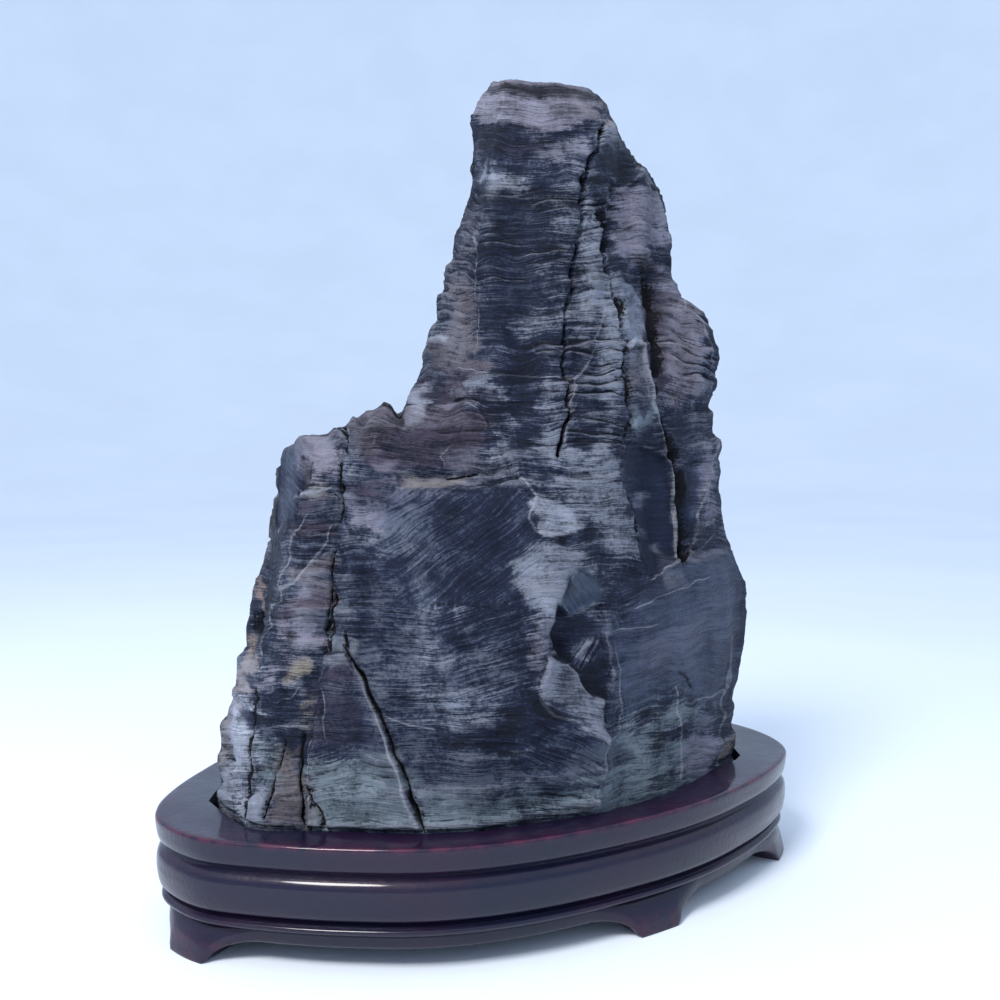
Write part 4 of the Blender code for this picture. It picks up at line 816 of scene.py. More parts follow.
@dataclass(frozen=True)
class Sight:
    """The viewing point, and the ways between its frame, its own axes and the part's.

    It stands at a height above the table, a distance from the stand's middle and a little aside, looks
    down by its pitch, and is turned from square on. Drawings lie on a plane in front of it, where a unit
    of the frame is that many millimetres.
    """

    height: float = 129.0
    distance: float = 327.5
    aside: float = 2.1
    pitch: float = math.radians(2.485)
    turn: float = math.radians(26.8)
    middle: Pair = (1.3, -1.1)
    plane: float = 318.0
    unit: float = 0.3
    frame_centre: float = 500.0
    sensor: float = 36.0
    lens: float = 38.16

    def seen(self, across: float, up: float, depth: float) -> Triple:
        """The point behind a place on the sight plane.

        Args:
            across: how far right the place is.
            up: how far up it is.
            depth: how far behind the stand's middle the point lies.

        Returns:
            its (right, behind, height).
        """
        forward = math.cos(self.pitch) + up / self.plane * math.sin(self.pitch)
        rise = up / self.plane * math.cos(self.pitch) - math.sin(self.pitch)
        reach = (self.distance + depth) / forward
        return across / self.plane * reach + self.aside, depth, self.height + rise * reach

    def on_frame(self, points: Array) -> Array:
        """Where points are seen on the frame.

        Args:
            points: (right, behind, height) of each.

        Returns:
            the (x, y) of each, x to the right and y down.
        """
        right = points[:, 0] - self.aside
        forward = points[:, 1] + self.distance
        rise = points[:, 2] - self.height
        reach = forward * math.cos(self.pitch) - rise * math.sin(self.pitch)
        lift = forward * math.sin(self.pitch) + rise * math.cos(self.pitch)
        return self.frame_centre + np.column_stack((right / reach, -lift / reach)) * self.plane / self.unit

    def turned_in(self, vectors: Array) -> Array:
        """Turns directions to the part's axes.

        Args:
            vectors: (right, behind, up) of each.

        Returns:
            the (x, y, z) of each.
        """
        right, behind = vectors[:, 0], vectors[:, 1]
        x = right * math.cos(self.turn) + behind * math.sin(self.turn)
        y = behind * math.cos(self.turn) - right * math.sin(self.turn)
        return np.column_stack((x, y, vectors[:, 2]))

    def turned_out(self, vectors: Array) -> Array:
        """Turns directions from the part's axes.

        Args:
            vectors: (x, y, z) of each.

        Returns:
            the (right, behind, up) of each.
        """
        right = vectors[:, 0] * math.cos(self.turn) - vectors[:, 1] * math.sin(self.turn)
        behind = vectors[:, 0] * math.sin(self.turn) + vectors[:, 1] * math.cos(self.turn)
        return np.column_stack((right, behind, vectors[:, 2]))

    def to_part(self, points: Array) -> Array:
        """Turns points (right, behind, height) into the part's own X, Y and Z."""
        return self.turned_in(points) + (*self.middle, 0.0)

    def to_view(self, points: Array) -> Array:
        """Turns points in the part's X, Y and Z into (right, behind, height)."""
        return self.turned_out(points - (*self.middle, 0.0))

    def facing(self, points: Array, normals: Array) -> Array:
        """How squarely each point of the surface faces the viewing point, from -1 to 1."""
        sight = np.array((self.aside, -self.distance, self.height)) - points
        return np.sum(normals * sight, axis=1) / np.linalg.norm(sight, axis=1)

    def camera(self) -> Object:
        """Adds the camera at the viewing point.

        Returns:
            the camera.
        """
        data = bpy.data.cameras.new("camera")
        data.sensor_width, data.lens, data.clip_start = self.sensor, self.lens, 0.01
        made = bpy.data.objects.new("camera", data)
        bpy.context.scene.collection.objects.link(made)
        eye = self.to_part(np.array([(self.aside, -self.distance, self.height)]))[0]
        ahead = self.turned_in(np.array([(0.0, math.cos(self.pitch), -math.sin(self.pitch))]))[0]
        made.location = Vector(eye) * MM
        made.rotation_euler = Vector(ahead).to_track_quat("-Z", "Y").to_euler()
        bpy.context.scene.camera = made
        return made


def ringed_primitive(name: str, sides: int, rings: int) -> Object:
    """Adds a sphere primitive, selected alone, to be shaped ring by ring.

    Args:
        name: what it is called.
        sides: how many sides it has.
        rings: how many rings of points.

    Returns:
        the primitive.
    """
    bpy.ops.object.select_all(action="DESELECT")
    bpy.ops.mesh.primitive_uv_sphere_add(segments=sides, ring_count=rings + 1, radius=1.0)
    made = bpy.context.object
    made.name = made.data.name = name
    return made


def shape_rings(made: Object, loops: Array, poles: tuple) -> None:
    """Moves each ring of a ringed primitive onto a loop of points.

    Args:
        made: the primitive.
        loops: an array of loops from the top down, each anticlockwise seen from above, in millimetres.
        poles: the top and bottom points.
    """
    rings, sides = loops.shape[:2]
    unit = np.empty(len(made.data.vertices) * 3)
    made.data.vertices.foreach_get("co", unit)
    unit = unit.reshape(-1, 3)
    ring = np.rint(np.arccos(np.clip(unit[:, 2], -1.0, 1.0)) / math.pi * (rings + 1)).astype(int) - 1
    side = np.rint(np.arctan2(unit[:, 1], unit[:, 0]) / math.tau * sides).astype(int) % sides
    placed = loops[np.clip(ring, 0, rings - 1), side]
    placed[ring < 0] = poles[0]
    placed[ring >= rings] = poles[1]
    made.data.vertices.foreach_set("co", (placed * MM).ravel())
    made.data.update()
    made.data.update_tag()
    bpy.context.view_layer.update()


def apply_modifier(made: Object, modifier: bpy.types.Modifier) -> None:
    """Applies a modifier.

    Args:
        made: the object, which is made the active one.
        modifier: its modifier.
    """
    bpy.ops.object.select_all(action="DESELECT")
    made.select_set(True)
    bpy.context.view_layer.objects.active = made
    bpy.ops.object.modifier_apply(modifier=modifier.name)


def triangles(made: Object) -> int:
    """How many triangles an object's mesh has."""
    made.data.calc_loop_triangles()
    return len(made.data.loop_triangles)


class NodeSheet:
    """A material being drawn up: each method adds a node and gives its output socket."""

    def __init__(self, name: str) -> None:
        """Starts a material.

        Args:
            name: what it is called.
        """
        self.material = bpy.data.materials.new(name)
        self.material.use_nodes = True
        self.tree = self.material.node_tree
        self.shader = self.tree.nodes["Principled BSDF"]

    def feed(self, socket: Socket, value: Value) -> None:
        """Gives an input its value.

        Args:
            socket: the input.
            value: a number, a colour, or an output to link.
        """
        if isinstance(value, bpy.types.NodeSocket):
            self.tree.links.new(value, socket)
        elif isinstance(value, tuple) and len(value) == 3 and socket.type == "RGBA":
            socket.default_value = (*value, 1.0)
        else:
            socket.default_value = value

    def attribute(self, name: str, output: str = "Fac") -> Socket:
        """Reads a named attribute of the mesh.

        Args:
            name: the attribute.
            output: which output of its node.

        Returns:
            that output.
        """
        node = self.tree.nodes.new("ShaderNodeAttribute")
        node.attribute_name = name
        return node.outputs[output]

    def place(self) -> Socket:
        """The object's own coordinates, in metres."""
        return self.tree.nodes.new("ShaderNodeTexCoord").outputs["Object"]

    def stretched(self, vector: Socket, scale: Triple) -> Socket:
        """Scales a vector along each axis.

        Args:
            vector: the vector.
            scale: its three factors.

        Returns:
            the scaled vector.
        """
        node = self.tree.nodes.new("ShaderNodeMapping")
        self.feed(node.inputs["Vector"], vector)
        node.inputs["Scale"].default_value = scale
        return node.outputs["Vector"]

    def noise(self, vector: Socket, scale: float, detail: float = 4.0, roughness: float = 0.55,
              distortion: float = 0.0) -> Socket:
        """Noise from 0 to 1.

        Args:
            vector: where it is read.
            scale: how many cells to a unit.
            detail: how many finer sizes.
            roughness: how strong the finer sizes are.
            distortion: how far it is warped.

        Returns:
            its value.
        """
        node = self.tree.nodes.new("ShaderNodeTexNoise")
        self.feed(node.inputs["Vector"], vector)
        node.inputs["Scale"].default_value = scale
        node.inputs["Detail"].default_value = detail
        node.inputs["Roughness"].default_value = roughness
        node.inputs["Distortion"].default_value = distortion
        return node.outputs["Fac"]

    def between(self, value: Value, low: float, high: float, start: float = 0.0, end: float = 1.0) -> Socket:
        """Maps low..high to start..end, clamped, with a smooth step.

        Args:
            value: what is mapped.
            low: where the step starts.
            high: where it ends.
            start: the result at low.
            end: the result at high.

        Returns:
            the result.
        """
        node = self.tree.nodes.new("ShaderNodeMapRange")
        node.interpolation_type = "SMOOTHSTEP"
        self.feed(node.inputs["Value"], value)
        for name, number in (("From Min", low), ("From Max", high), ("To Min", start), ("To Max", end)):
            node.inputs[name].default_value = number
        return node.outputs["Result"]

    def maths(self, operation: str, first: Value, second: Value) -> Socket:
        """Two values through a Math node.

        Args:
            operation: the node's operation.
            first: its first value.
            second: its second value.

        Returns:
            the result.
        """
        node = self.tree.nodes.new("ShaderNodeMath")
        node.operation = operation
        self.feed(node.inputs[0], first)
        self.feed(node.inputs[1], second)
        return node.outputs[0]

    def total(self, *terms: tuple[Value, Value]) -> Socket:
        """Adds values up.

        Args:
            terms: each value and its weight.

        Returns:
            the sum.
        """
        result = None
        for value, weight in terms:
            term = self.maths("MULTIPLY", value, weight)
            result = term if result is None else self.maths("ADD", result, term)
        return result

    def mixed(self, factor: Value, first: Value, second: Value, blend: str = "MIX") -> Socket:
        """Mixes two colours.

        Args:
            factor: how much of the second, from 0 to 1.
            first: a colour.
            second: a colour.
            blend: the way they are blended.

        Returns:
            the mixed colour.
        """
        node = self.tree.nodes.new("ShaderNodeMix")
        node.data_type, node.blend_type = "RGBA", blend
        self.feed(node.inputs[0], factor)
        self.feed(node.inputs[6], first)
        self.feed(node.inputs[7], second)
        return node.outputs[2]

    def bump(self, height: Value, distance: float, strength: float, normal: Socket | None = None) -> Socket:
        """Bends a normal by a height.

        Args:
            height: the height, from 0 to 1.
            distance: how many metres a height of 1 is.
            strength: how much of it shows.
            normal: the normal to bend, or None for the surface's own.

        Returns:
            the bent normal.
        """
        node = self.tree.nodes.new("ShaderNodeBump")
        self.feed(node.inputs["Height"], height)
        node.inputs["Distance"].default_value = distance
        node.inputs["Strength"].default_value = strength
        if normal is not None:
            self.feed(node.inputs["Normal"], normal)
        return node.outputs["Normal"]


@dataclass(frozen=True)
class StoneFinish:
    """Dark slate with fine beds: colours as linear red, green and blue, with painted highlights on raised forms
    and edges, painted shade in hollows and creases, and near-black painted shade inside the clefts.
    """

    # the darkest tone of the stone, also painted shade in hollows and creases
    dust_and_shade: Triple = (0.0025, 0.0045, 0.0125)
    dark: Triple = (0.0075, 0.0125, 0.034)
    middle: Triple = (0.036, 0.046, 0.080)
    stroke: Triple = (0.135, 0.152, 0.192)
    # a pale worn colour, also a painted highlight on raised forms and edges
    worn_and_highlight: Triple = (0.21, 0.22, 0.265)
    vein: Triple = (0.30, 0.31, 0.35)
    # near-black painted shade inside the clefts
    gap: Triple = (0.002, 0.002, 0.004)

    def line(self, sheet: NodeSheet, name: str, half_width: float, ragged: Value) -> Socket:
        """A line drawn from a signed distance on the mesh.

        Args:
            sheet: the material.
            name: crack or vein, as in the attributes' names.
            half_width: how wide it is drawn.
            ragged: how uneven its width is.

        Returns:
            how strong it is, from 0 to 1.
        """
        side = sheet.maths("ABSOLUTE", sheet.attribute(name + "_side"), 0.0)
        width = sheet.maths("ADD", side, ragged)
        return sheet.maths("MULTIPLY", sheet.between(width, half_width * 1.3, half_width * 0.7),
                           sheet.between(sheet.attribute(name + "_near"), 0.0, 0.35))

    def along_beds(self, sheet: NodeSheet, share: Value, scale: Triple, detail: float) -> Socket:
        """Noise drawn out along the beds.

        Args:
            sheet: the material.
            share: how far the turned beds take over from the level ones.
            scale: cells to a millimetre along, across and behind.
            detail: how many finer sizes.

        Returns:
            its value, from 0 to 1.
        """
        level = sheet.noise(sheet.stretched(sheet.attribute("level", "Vector"), scale), 1.0, detail, 0.66, 0.35)
        turned = sheet.noise(sheet.stretched(sheet.attribute("turned", "Vector"), scale), 1.0, detail, 0.66,
                             0.2)
        return sheet.total((level, sheet.maths("SUBTRACT", 1.0, share)), (turned, share))

    def material(self) -> bpy.types.Material:
        """Draws up the stone's material.

        Returns:
            the material.
        """
        sheet = NodeSheet("bedded_slate")
        place = sheet.place()
        clouds = sheet.noise(place, 34.0, 3.0, 0.6)
        mottle = sheet.noise(place, 130.0, 5.0, 0.68, 0.4)
        crumbs = sheet.noise(place, 1100.0, 3.0, 0.7)
        share = sheet.attribute("turned_share")
        streaks = self.along_beds(sheet, share, (0.036, 0.85, 0.036), 7.0)
        hairs = self.along_beds(sheet, share, (0.15, 3.2, 0.15), 5.0)
        calm = sheet.attribute("calm")

        pattern = sheet.total((streaks, 3.8), (hairs, 4.2), (crumbs, 2.2), (mottle, 3.6), (clouds, 3.4),
                              (-8.5, 1.0))
        pattern = sheet.maths("MULTIPLY", pattern, sheet.between(calm, 0.0, 1.0, 1.0, 0.45))
        pattern = sheet.total((pattern, 1.0), (sheet.attribute("shade"), 1.0))
        colour = sheet.mixed(sheet.between(pattern, -1.1, -0.1), self.dust_and_shade, self.dark)
        colour = sheet.mixed(sheet.between(pattern, -0.3, 0.6), colour, self.middle)
        colour = sheet.mixed(sheet.between(pattern, 0.2, 1.4), colour, self.stroke)

        tint = sheet.mixed(1.0, sheet.attribute("tint", "Color"),
                           sheet.between(pattern, -1.2, 1.5, 0.28, 1.4), "MULTIPLY")
        cover = sheet.total((sheet.attribute("tint_strength"), 2.0), (pattern, 0.5), (-0.9, 1.0))
        colour = sheet.mixed(sheet.between(cover, -0.45, 0.55), colour, tint)

        # Raised forms and convex edges are painted paler, partly wear and partly painted highlight; hollows and
        # creases are painted darker, partly dust and partly painted shade.
        edge, form = sheet.attribute("edge"), sheet.attribute("form")
        high = sheet.total((form, 1.0), (pattern, 0.3))
        colour = sheet.mixed(sheet.between(high, 0.2, 1.4, 0.0, 0.6), colour, self.worn_and_highlight)
        colour = sheet.mixed(sheet.between(high, -0.2, -1.3, 0.0, 0.7), colour, self.dust_and_shade)
        brink = sheet.total((edge, 1.0), (pattern, 0.07))
        colour = sheet.mixed(sheet.between(brink, 0.06, 0.34, 0.0, 0.45), colour, self.worn_and_highlight)
        colour = sheet.mixed(sheet.between(brink, -0.04, -0.25, 0.0, 0.8), colour, self.dust_and_shade)

        ragged = sheet.total((mottle, 3.0), (crumbs, 3.0), (-3.0, 1.0))
        vein = sheet.maths("MULTIPLY", self.line(sheet, "vein", 0.9, ragged),
                           sheet.between(pattern, -0.6, 0.6, 0.1, 0.6))
        colour = sheet.mixed(vein, colour, self.vein)
        # the clefts' insides are painted near-black: painted shade
        gap = self.line(sheet, "crack", 1.0, ragged)
        colour = sheet.mixed(gap, colour, self.gap)
        sheet.feed(sheet.shader.inputs["Base Color"], colour)

        height = sheet.total((streaks, 1.0), (hairs, 0.6), (mottle, 0.35), (crumbs, 0.12))
        height = sheet.total((height, sheet.between(calm, 0.0, 1.0, 1.0, 0.4)), (gap, -0.6))
        sheet.feed(sheet.shader.inputs["Normal"], sheet.bump(height, 0.0014, 1.0))
        sheet.feed(sheet.shader.inputs["Roughness"], sheet.between(mottle, 0.3, 0.7, 0.5, 0.72))
        sheet.shader.inputs["Specular IOR Level"].default_value = 0.2
        return sheet.material


@dataclass(frozen=True)
class LacquerFinish:
    """Dark red-brown lacquer over carved wood, worn red along its edges, with a painted red sheen on its top
    near the rim.
    """

    deep: Triple = (0.004, 0.005, 0.020)
    warm: Triple = (0.012, 0.004, 0.020)
    # red worn colour, also a painted sheen along the rim and on the top near it
    worn_and_highlight: Triple = (0.068, 0.012, 0.034)

    def material(self) -> bpy.types.Material:
        """Draws up the stand's material.

        Returns:
            the material.
        """
        sheet = NodeSheet("red_brown_lacquer")
        place = sheet.place()
        clouds = sheet.noise(place, 26.0, 4.0, 0.6)
        brush = sheet.noise(sheet.stretched(place, (30.0, 30.0, 420.0)), 1.0, 4.0, 0.6)
        grit = sheet.noise(place, 750.0, 3.0, 0.6)
        colour = sheet.mixed(sheet.between(clouds, 0.35, 0.7), self.deep, self.warm)
        # red wear, with painted sheen along the rim and on the top near it
        wear_and_sheen = sheet.attribute("wear_and_sheen")
        ragged = sheet.between(sheet.noise(place, 160.0, 5.0, 0.7), 0.36, 0.6)
        colour = sheet.mixed(sheet.maths("MULTIPLY", wear_and_sheen, ragged), colour, self.worn_and_highlight)
        sheet.feed(sheet.shader.inputs["Base Color"], colour)
        sheet.feed(sheet.shader.inputs["Roughness"], sheet.between(brush, 0.3, 0.7, 0.3, 0.5))
        sheet.shader.inputs["Specular IOR Level"].default_value = 0.12
        sheet.shader.inputs["Coat Weight"].default_value = 0.6
        sheet.shader.inputs["Coat Roughness"].default_value = 0.1
        normal = sheet.bump(grit, 0.0003, 0.5)
        normal = sheet.bump(sheet.noise(place, 110.0, 3.0, 0.5), 0.0006, 0.4, normal)
        sheet.feed(sheet.shader.inputs["Normal"], normal)
        return sheet.material


@dataclass
class Stone:
    """The stone: a loft of its main planes, given its beds, clefts and chips, and its finish."""

    sight: Sight
    finish: StoneFinish
    foot: float = 26.3
    seat_rim: float = 32.7
    rows: int = 230
    voxel: float = 0.56
    back_share: float = 0.115
    front_share: float = 0.47
    smoothing_passes: int = 5
    shoulder_drop: float = 1.5
    shoulder_points: int = 24
    least_drop: float = 0.05
    cleft_fade: float = 6.0
    lump_size: float = 22.0
    lump_stretch: float = 0.6
    lumps_near: float = 0.9
    lumps_far: float = 2.3
    bed_height: float = 9.0
    bed_edge: float = 1.5
    bed_wander: float = 5.0
    bed_wander_size: float = 45.0
    bed_ledge: float = 0.8
    far_side_middle: float = 5.0
    line_reach: float = 1.8
    crack_width: float = 0.62
    vein_width: float = 0.7
    crack_lip: float = 0.15
    shade_step: float = 0.36
    shade_middle: float = 0.16
    shade_most: float = 0.75
    dark_shift: float = -0.4
    dark_cover: float = 0.4
    pale_cover: float = 0.8
    level_slope: float = 6.0
    crease_depth: float = 1.7
    crease_width: float = 0.16
    cross_depth: float = 1.3
    cross_width: float = 0.10

    def rib_at(self, rib: Rib, heights: Array) -> Array:
        """Where a rib is at some heights; below its last point it goes straight down.

        Args:
            rib: its points (right, behind, height), from the top down.
            heights: the heights.

        Returns:
            the (right, behind) at each height.
        """
        rib = np.asarray(rib, float)[::-1]
        right = np.interp(heights, rib[:, 2], rib[:, 0])
        return np.column_stack((right, np.interp(heights, rib[:, 2], rib[:, 1])))

    def front_rib(self, drawn: Rib) -> list[Triple]:
        """Turns a drawn rib into points, each lower than the one before it.

        Args:
            drawn: (across, up, depth) of each point, from the top down.

        Returns:
            its points (right, behind, height).
        """
        points = [self.sight.seen(*point) for point in drawn]
        kept = [points[0]]
        for point in points[1:]:
            if point[2] < kept[-1][2] - self.least_drop:
                kept.append(point)
        return kept

    def shoulder_rib(self, drawn: Rib, share: float) -> list[Triple]:
        """A rib that climbs to the shoulder, crosses it and goes on up the peak's left side.

        Args:
            drawn: the rib below the shoulder.
            share: how far round the peak it goes on.

        Returns:
            its points (right, behind, height), from the top down.
        """
        low = self.front_rib(drawn)
        left, middle = self.front_rib(PEAK_LEFT), self.front_rib(FACE_MIDDLE)
        top = left[0][2] * (1.0 - share) + middle[0][2] * share
        heights = np.linspace(top, low[0][2] + self.shoulder_drop, self.shoulder_points)
        high = self.rib_at(left, heights) * (1.0 - share) + self.rib_at(middle, heights) * share
        return [(*place, height) for place, height in zip(high, heights)] + low

    def ribs(self) -> list[list[Triple]]:
        """Draws every rib of the stone.

        Returns:
            the ribs, anticlockwise from the stone's left end.
        """
        ribs = [self.shoulder_rib(drawn, share) for drawn, share in SHOULDER_RIBS]
        ribs += [self.front_rib(drawn) for drawn in FRONT_RIBS]
        return ribs + [list(rib) for rib in BACK_RIBS]

    def foot_outline(self) -> Array:
        """The stone's foot without its cleft, as (x, y) on the stand's plan."""
        foot = [(*self.rib_at(rib, [self.foot])[0], 0.0) for rib in self.ribs()]
        return self.sight.to_part(np.delete(np.array(foot), CLEFT_RIB, axis=0))[:, :2]

    def block_out(self) -> Object:
        """Lofts the main planes and gives them an even fine skin.

        Returns:
            the closed mesh.
        """
        ribs = self.ribs()
        loops = []
        for share in np.linspace(1.0, 0.0, self.rows + 1):
            heights = [self.foot + (rib[0][2] - self.foot) * share for rib in ribs]
            loops.append([(*self.rib_at(rib, [h])[0], h) for rib, h in zip(ribs, heights)])
        loops = np.array(loops)
        placed = self.sight.to_part(loops.reshape(-1, 3)).reshape(loops.shape)
        made = ringed_primitive("stone_visual", len(ribs), self.rows + 1)
        shape_rings(made, placed, (placed[0].mean(axis=0), placed[-1].mean(axis=0)))
        skin = made.modifiers.new("even skin", "REMESH")
        skin.mode = "VOXEL"
        skin.voxel_size = self.voxel * MM
        apply_modifier(made, skin)
        return made

    def smoothing(self, mesh: Mesh) -> Callable[[Array, int], Array]:
        """Makes the function that smooths a value over a mesh.

        Args:
            mesh: the mesh.

        Returns:
            the function.
        """
        count = len(mesh.vertices)
        edges = np.empty(len(mesh.edges) * 2, np.int64)
        mesh.edges.foreach_get("vertices", edges)
        first, second = edges.reshape(-1, 2).T
        degree = np.bincount(edges, minlength=count)

        def spread(values: Array, passes: int) -> Array:
            """Spreads a value half way to the mean of its neighbours.

            Args:
                values: the value at each point.
                passes: how often it is spread.

            Returns:
                the spread values.
            """
            for _ in range(passes):
                total = np.bincount(first, values[second], count) + np.bincount(second, values[first], count)
                values = 0.5 * (values + total / degree)
            return values

        return spread

    def broken_surface(self, points: Array, facing: Array) -> tuple[Array, Array]:
        """The lumps of the surface, larger on the far side, and the edges of its thick beds.

        Args:
            points: the surface, in millimetres.
            facing: how squarely it faces the viewing point, from -1 to 1.

        Returns:
            how far each point stands out for the lumps, and for the beds' edges.
        """
        far = eased(-0.1 - facing * 2.0)
        lumps = layered_noise(points * (1.0, 1.0, self.lump_stretch), self.lump_size, 3, Seed.LUMPS)
        bed = points[:, 2] + self.bed_wander * lattice_noise(points / self.bed_wander_size, Seed.BED_WANDER)
        edges = sawtooth(bed / self.bed_height, self.bed_ledge)
        patches = eased(0.5 + lattice_noise(points / self.lump_size, Seed.BED_PATCHES))
        height = self.lumps_near + (self.lumps_far - self.lumps_near) * far
        return height * lumps, self.bed_edge * (edges - 0.5) * patches

    def far_side_relief(self, points: Array, show: Array) -> Array:
        """The clefts and creases of the far side.

        Args:
            points: the surface, in millimetres.
            show: each point's share in the show face, 0 to 1.

        Returns:
            how far each point stands out.
        """
        right = points[:, 0] - self.far_side_middle
        bearing, reach = np.degrees(np.arctan2(points[:, 1], right)), np.hypot(right, points[:, 1])
        wobble = (2.6 * lattice_noise(points / (9.0, 9.0, 12.0), Seed.CLEFT_WOBBLE)
                  + 1.2 * lattice_noise(points / 4.0, Seed.CLEFT_RIPPLE))
        breadth = 0.75 + 0.45 * lattice_noise(points / 13.0, Seed.CLEFT_BREADTH)
        relief = np.zeros(len(points))
        for half_width, depth, path in BACK_CLEFTS:
            bearings, heights = zip(*path[::-1])
            aside = np.radians(bearing - np.interp(points[:, 2], heights, bearings))
            past_end = np.maximum(heights[0] - points[:, 2], points[:, 2] - heights[-1])
            near = np.clip(1.0 - np.abs(aside * reach + wobble) / (half_width * breadth), 0.0, 1.0)
            relief -= depth * breadth * near * eased(1.0 - past_end / self.cleft_fade)
        crease = np.abs(lattice_noise(points / (24.0, 24.0, 50.0), Seed.CREASES)
                        + 0.15 * lattice_noise(points / 6.0, Seed.CREASE_RIPPLE))
        cross = np.abs(lattice_noise(points / (30.0, 30.0, 16.0), Seed.CROSS_CREASES)
                       + 0.12 * lattice_noise(points / 5.0, Seed.CROSS_RIPPLE))
        folds = (self.crease_depth * np.clip(1.0 - crease / self.crease_width, 0.0, 1.0)
                 + self.cross_depth * np.clip(1.0 - cross / self.cross_width, 0.0, 1.0))
        return relief - folds * (1.0 - show)

    def beds(self, points: Array, places: Array, show: Array) -> tuple[Array, Array, Array, Array]:
        """The grain of the fine beds, as vectors along, across and behind in millimetres.

        Args:
            points: the surface, in millimetres.
            places: where it is seen on the frame.
            show: each point's share in the show face, 0 to 1.

        Returns:
            the level beds, the turned ones, how far the turned ones take over, and how strong the beds are.
        """
        wander = (0.3 * self.bed_wander * lattice_noise(points / self.bed_wander_size, Seed.BED_WANDER)
                  + 1.1 * lattice_noise(points / 7.0, Seed.FINE_WANDER))
        along = places[:, 0] * self.sight.unit * show + (points[:, 0] - points[:, 1]) * (1.0 - show)
        across = -places[:, 1] * self.sight.unit * show + points[:, 2] * (1.0 - show)
        level = np.column_stack((along, across + wander, points[:, 1]))
        turned, share = level.copy(), np.zeros(len(points))
        strength = np.full(len(points), 0.55)
        for zone in BEDS:
            weight = self.cover(places, zone.outline, zone.soft) * show
            strength += weight * (zone.strength - strength)
            if abs(zone.slope) < self.level_slope:
                continue
            chosen = weight > share
            x, y = ((places[chosen] - np.mean(zone.outline, axis=0)) * self.sight.unit).T
            slope = math.radians(zone.slope)
            turned[chosen, 0] = x * math.cos(slope) - y * math.sin(slope)
            turned[chosen, 1] = -y * math.cos(slope) - x * math.sin(slope) + wander[chosen]
            share = np.maximum(share, weight)
        return level, turned, share, strength

    def stepped(self, grain: Array) -> Array:
        """The edges of the fine beds, in broken lengths.

        Args:
            grain: the beds' grain.

        Returns:
            their height at each point, from -1 to 1.
        """
        patches = 0.1 + 0.9 * eased(0.45 + 1.5 * lattice_noise(grain / (15.0, 4.5, 15.0), Seed.BROKEN_BEDS))
        warp = layered_noise(grain / (2.2, 1.0, 2.2), 4.5, 2, Seed.WARPED_BEDS)
        wide = sawtooth(grain[:, 1] / 3.0 + 0.45 * warp, 0.7) - 0.5
        fine = sawtooth(grain[:, 1] / 1.5 + 0.9 * warp, 0.65) - 0.5
        return patches * (0.7 * wide + 0.34 * fine)

    def jitter(self, points: Array, size: float, seed: int) -> Array:
        """A 2-D wobble of each point, from -1 to 1 each way."""
        return np.column_stack((lattice_noise(points / size, seed), lattice_noise(points / size, seed + 1)))

    def cover(self, places: Array, outline: Path, soft: float) -> Array:
        """How far places lie within a closed outline.

        Args:
            places: where it is seen on the frame.
            outline: the outline on the frame.
            soft: the width of its soft border in millimetres.

        Returns:
            a share from 0 to 1 for each place.
        """
        reach = soft / self.sight.unit
        low, high = np.min(outline, axis=0) - reach, np.max(outline, axis=0) + reach
        near = np.all((places > low) & (places < high), axis=1)
        result = np.zeros(len(places))
        if near.any():
            border = distance_to_line(places[near], outline + outline[:1]) * self.sight.unit
            signed = np.where(inside(places[near], outline), border, -border)
            result[near] = eased(0.5 + signed / soft)
        return result

    def draw_line(self, places: Array, path: Path, half_width: float, strength: Array,
                  drawn: tuple[Array, Array]) -> tuple[Array, Array]:
        """Draws a line onto the two arrays that the finish reads.

        Args:
            places: where it is seen on the frame.
            path: the line on the frame.
            half_width: its half width in millimetres.
            strength: how strong it is at each point.
            drawn: the signed distance in half widths, and the strength, both changed in place.

        Returns:
            the distances of the points near the line, and which points they are.
        """
        side, near = drawn
        reach = (half_width + self.line_reach) / self.sight.unit
        low, high = np.min(path, axis=0) - reach, np.max(path, axis=0) + reach
        at = np.nonzero(np.all((places > low) & (places < high), axis=1))[0]
        signed = signed_distance(places[at], path) * self.sight.unit
        closeness = eased(1.0 - np.abs(signed) / (half_width + self.line_reach)) * strength[at]
        better = closeness > near[at]
        side[at[better]] = (signed / half_width)[better]
        near[at[better]] = closeness[better]
        return np.abs(signed), at

    def along_line(self, places: Array, path: Path, half_width: float) -> Array:
        """How near places are to a line.

        Args:
            places: where it is seen on the frame.
            path: the line on the frame.
            half_width: its half width in millimetres.

        Returns:
            0 at the half width or beyond, to 1 on the line.
        """
        low = np.min(path, axis=0) - half_width / self.sight.unit
        high = np.max(path, axis=0) + half_width / self.sight.unit
        near = np.all((places > low) & (places < high), axis=1)
        result = np.zeros(len(places))
        if near.any():
            gap = distance_to_line(places[near], path) * self.sight.unit / half_width
            result[near] = np.clip(1.0 - gap, 0.0, 1.0)
        return result

    def smoothed(self, mesh: Mesh, spread: Callable) -> tuple[Array, Array]:
        """Smooths the steps of the even skin out of a mesh.

        Args:
            mesh: the stone's mesh.
            spread: the function that smooths a value over it.

        Returns:
            the points in millimetres and the normals, both as the viewing point has its axes.
        """
        points = np.empty(len(mesh.vertices) * 3)
        mesh.vertices.foreach_get("co", points)
        points = np.column_stack([spread(axis, self.smoothing_passes) for axis in points.reshape(-1, 3).T])
        mesh.vertices.foreach_set("co", points.ravel())
        mesh.update()
        normals = np.empty(len(points) * 3)
        mesh.vertex_normals.foreach_get("vector", normals)
        return self.sight.to_view(points / MM), self.sight.turned_out(normals.reshape(-1, 3))

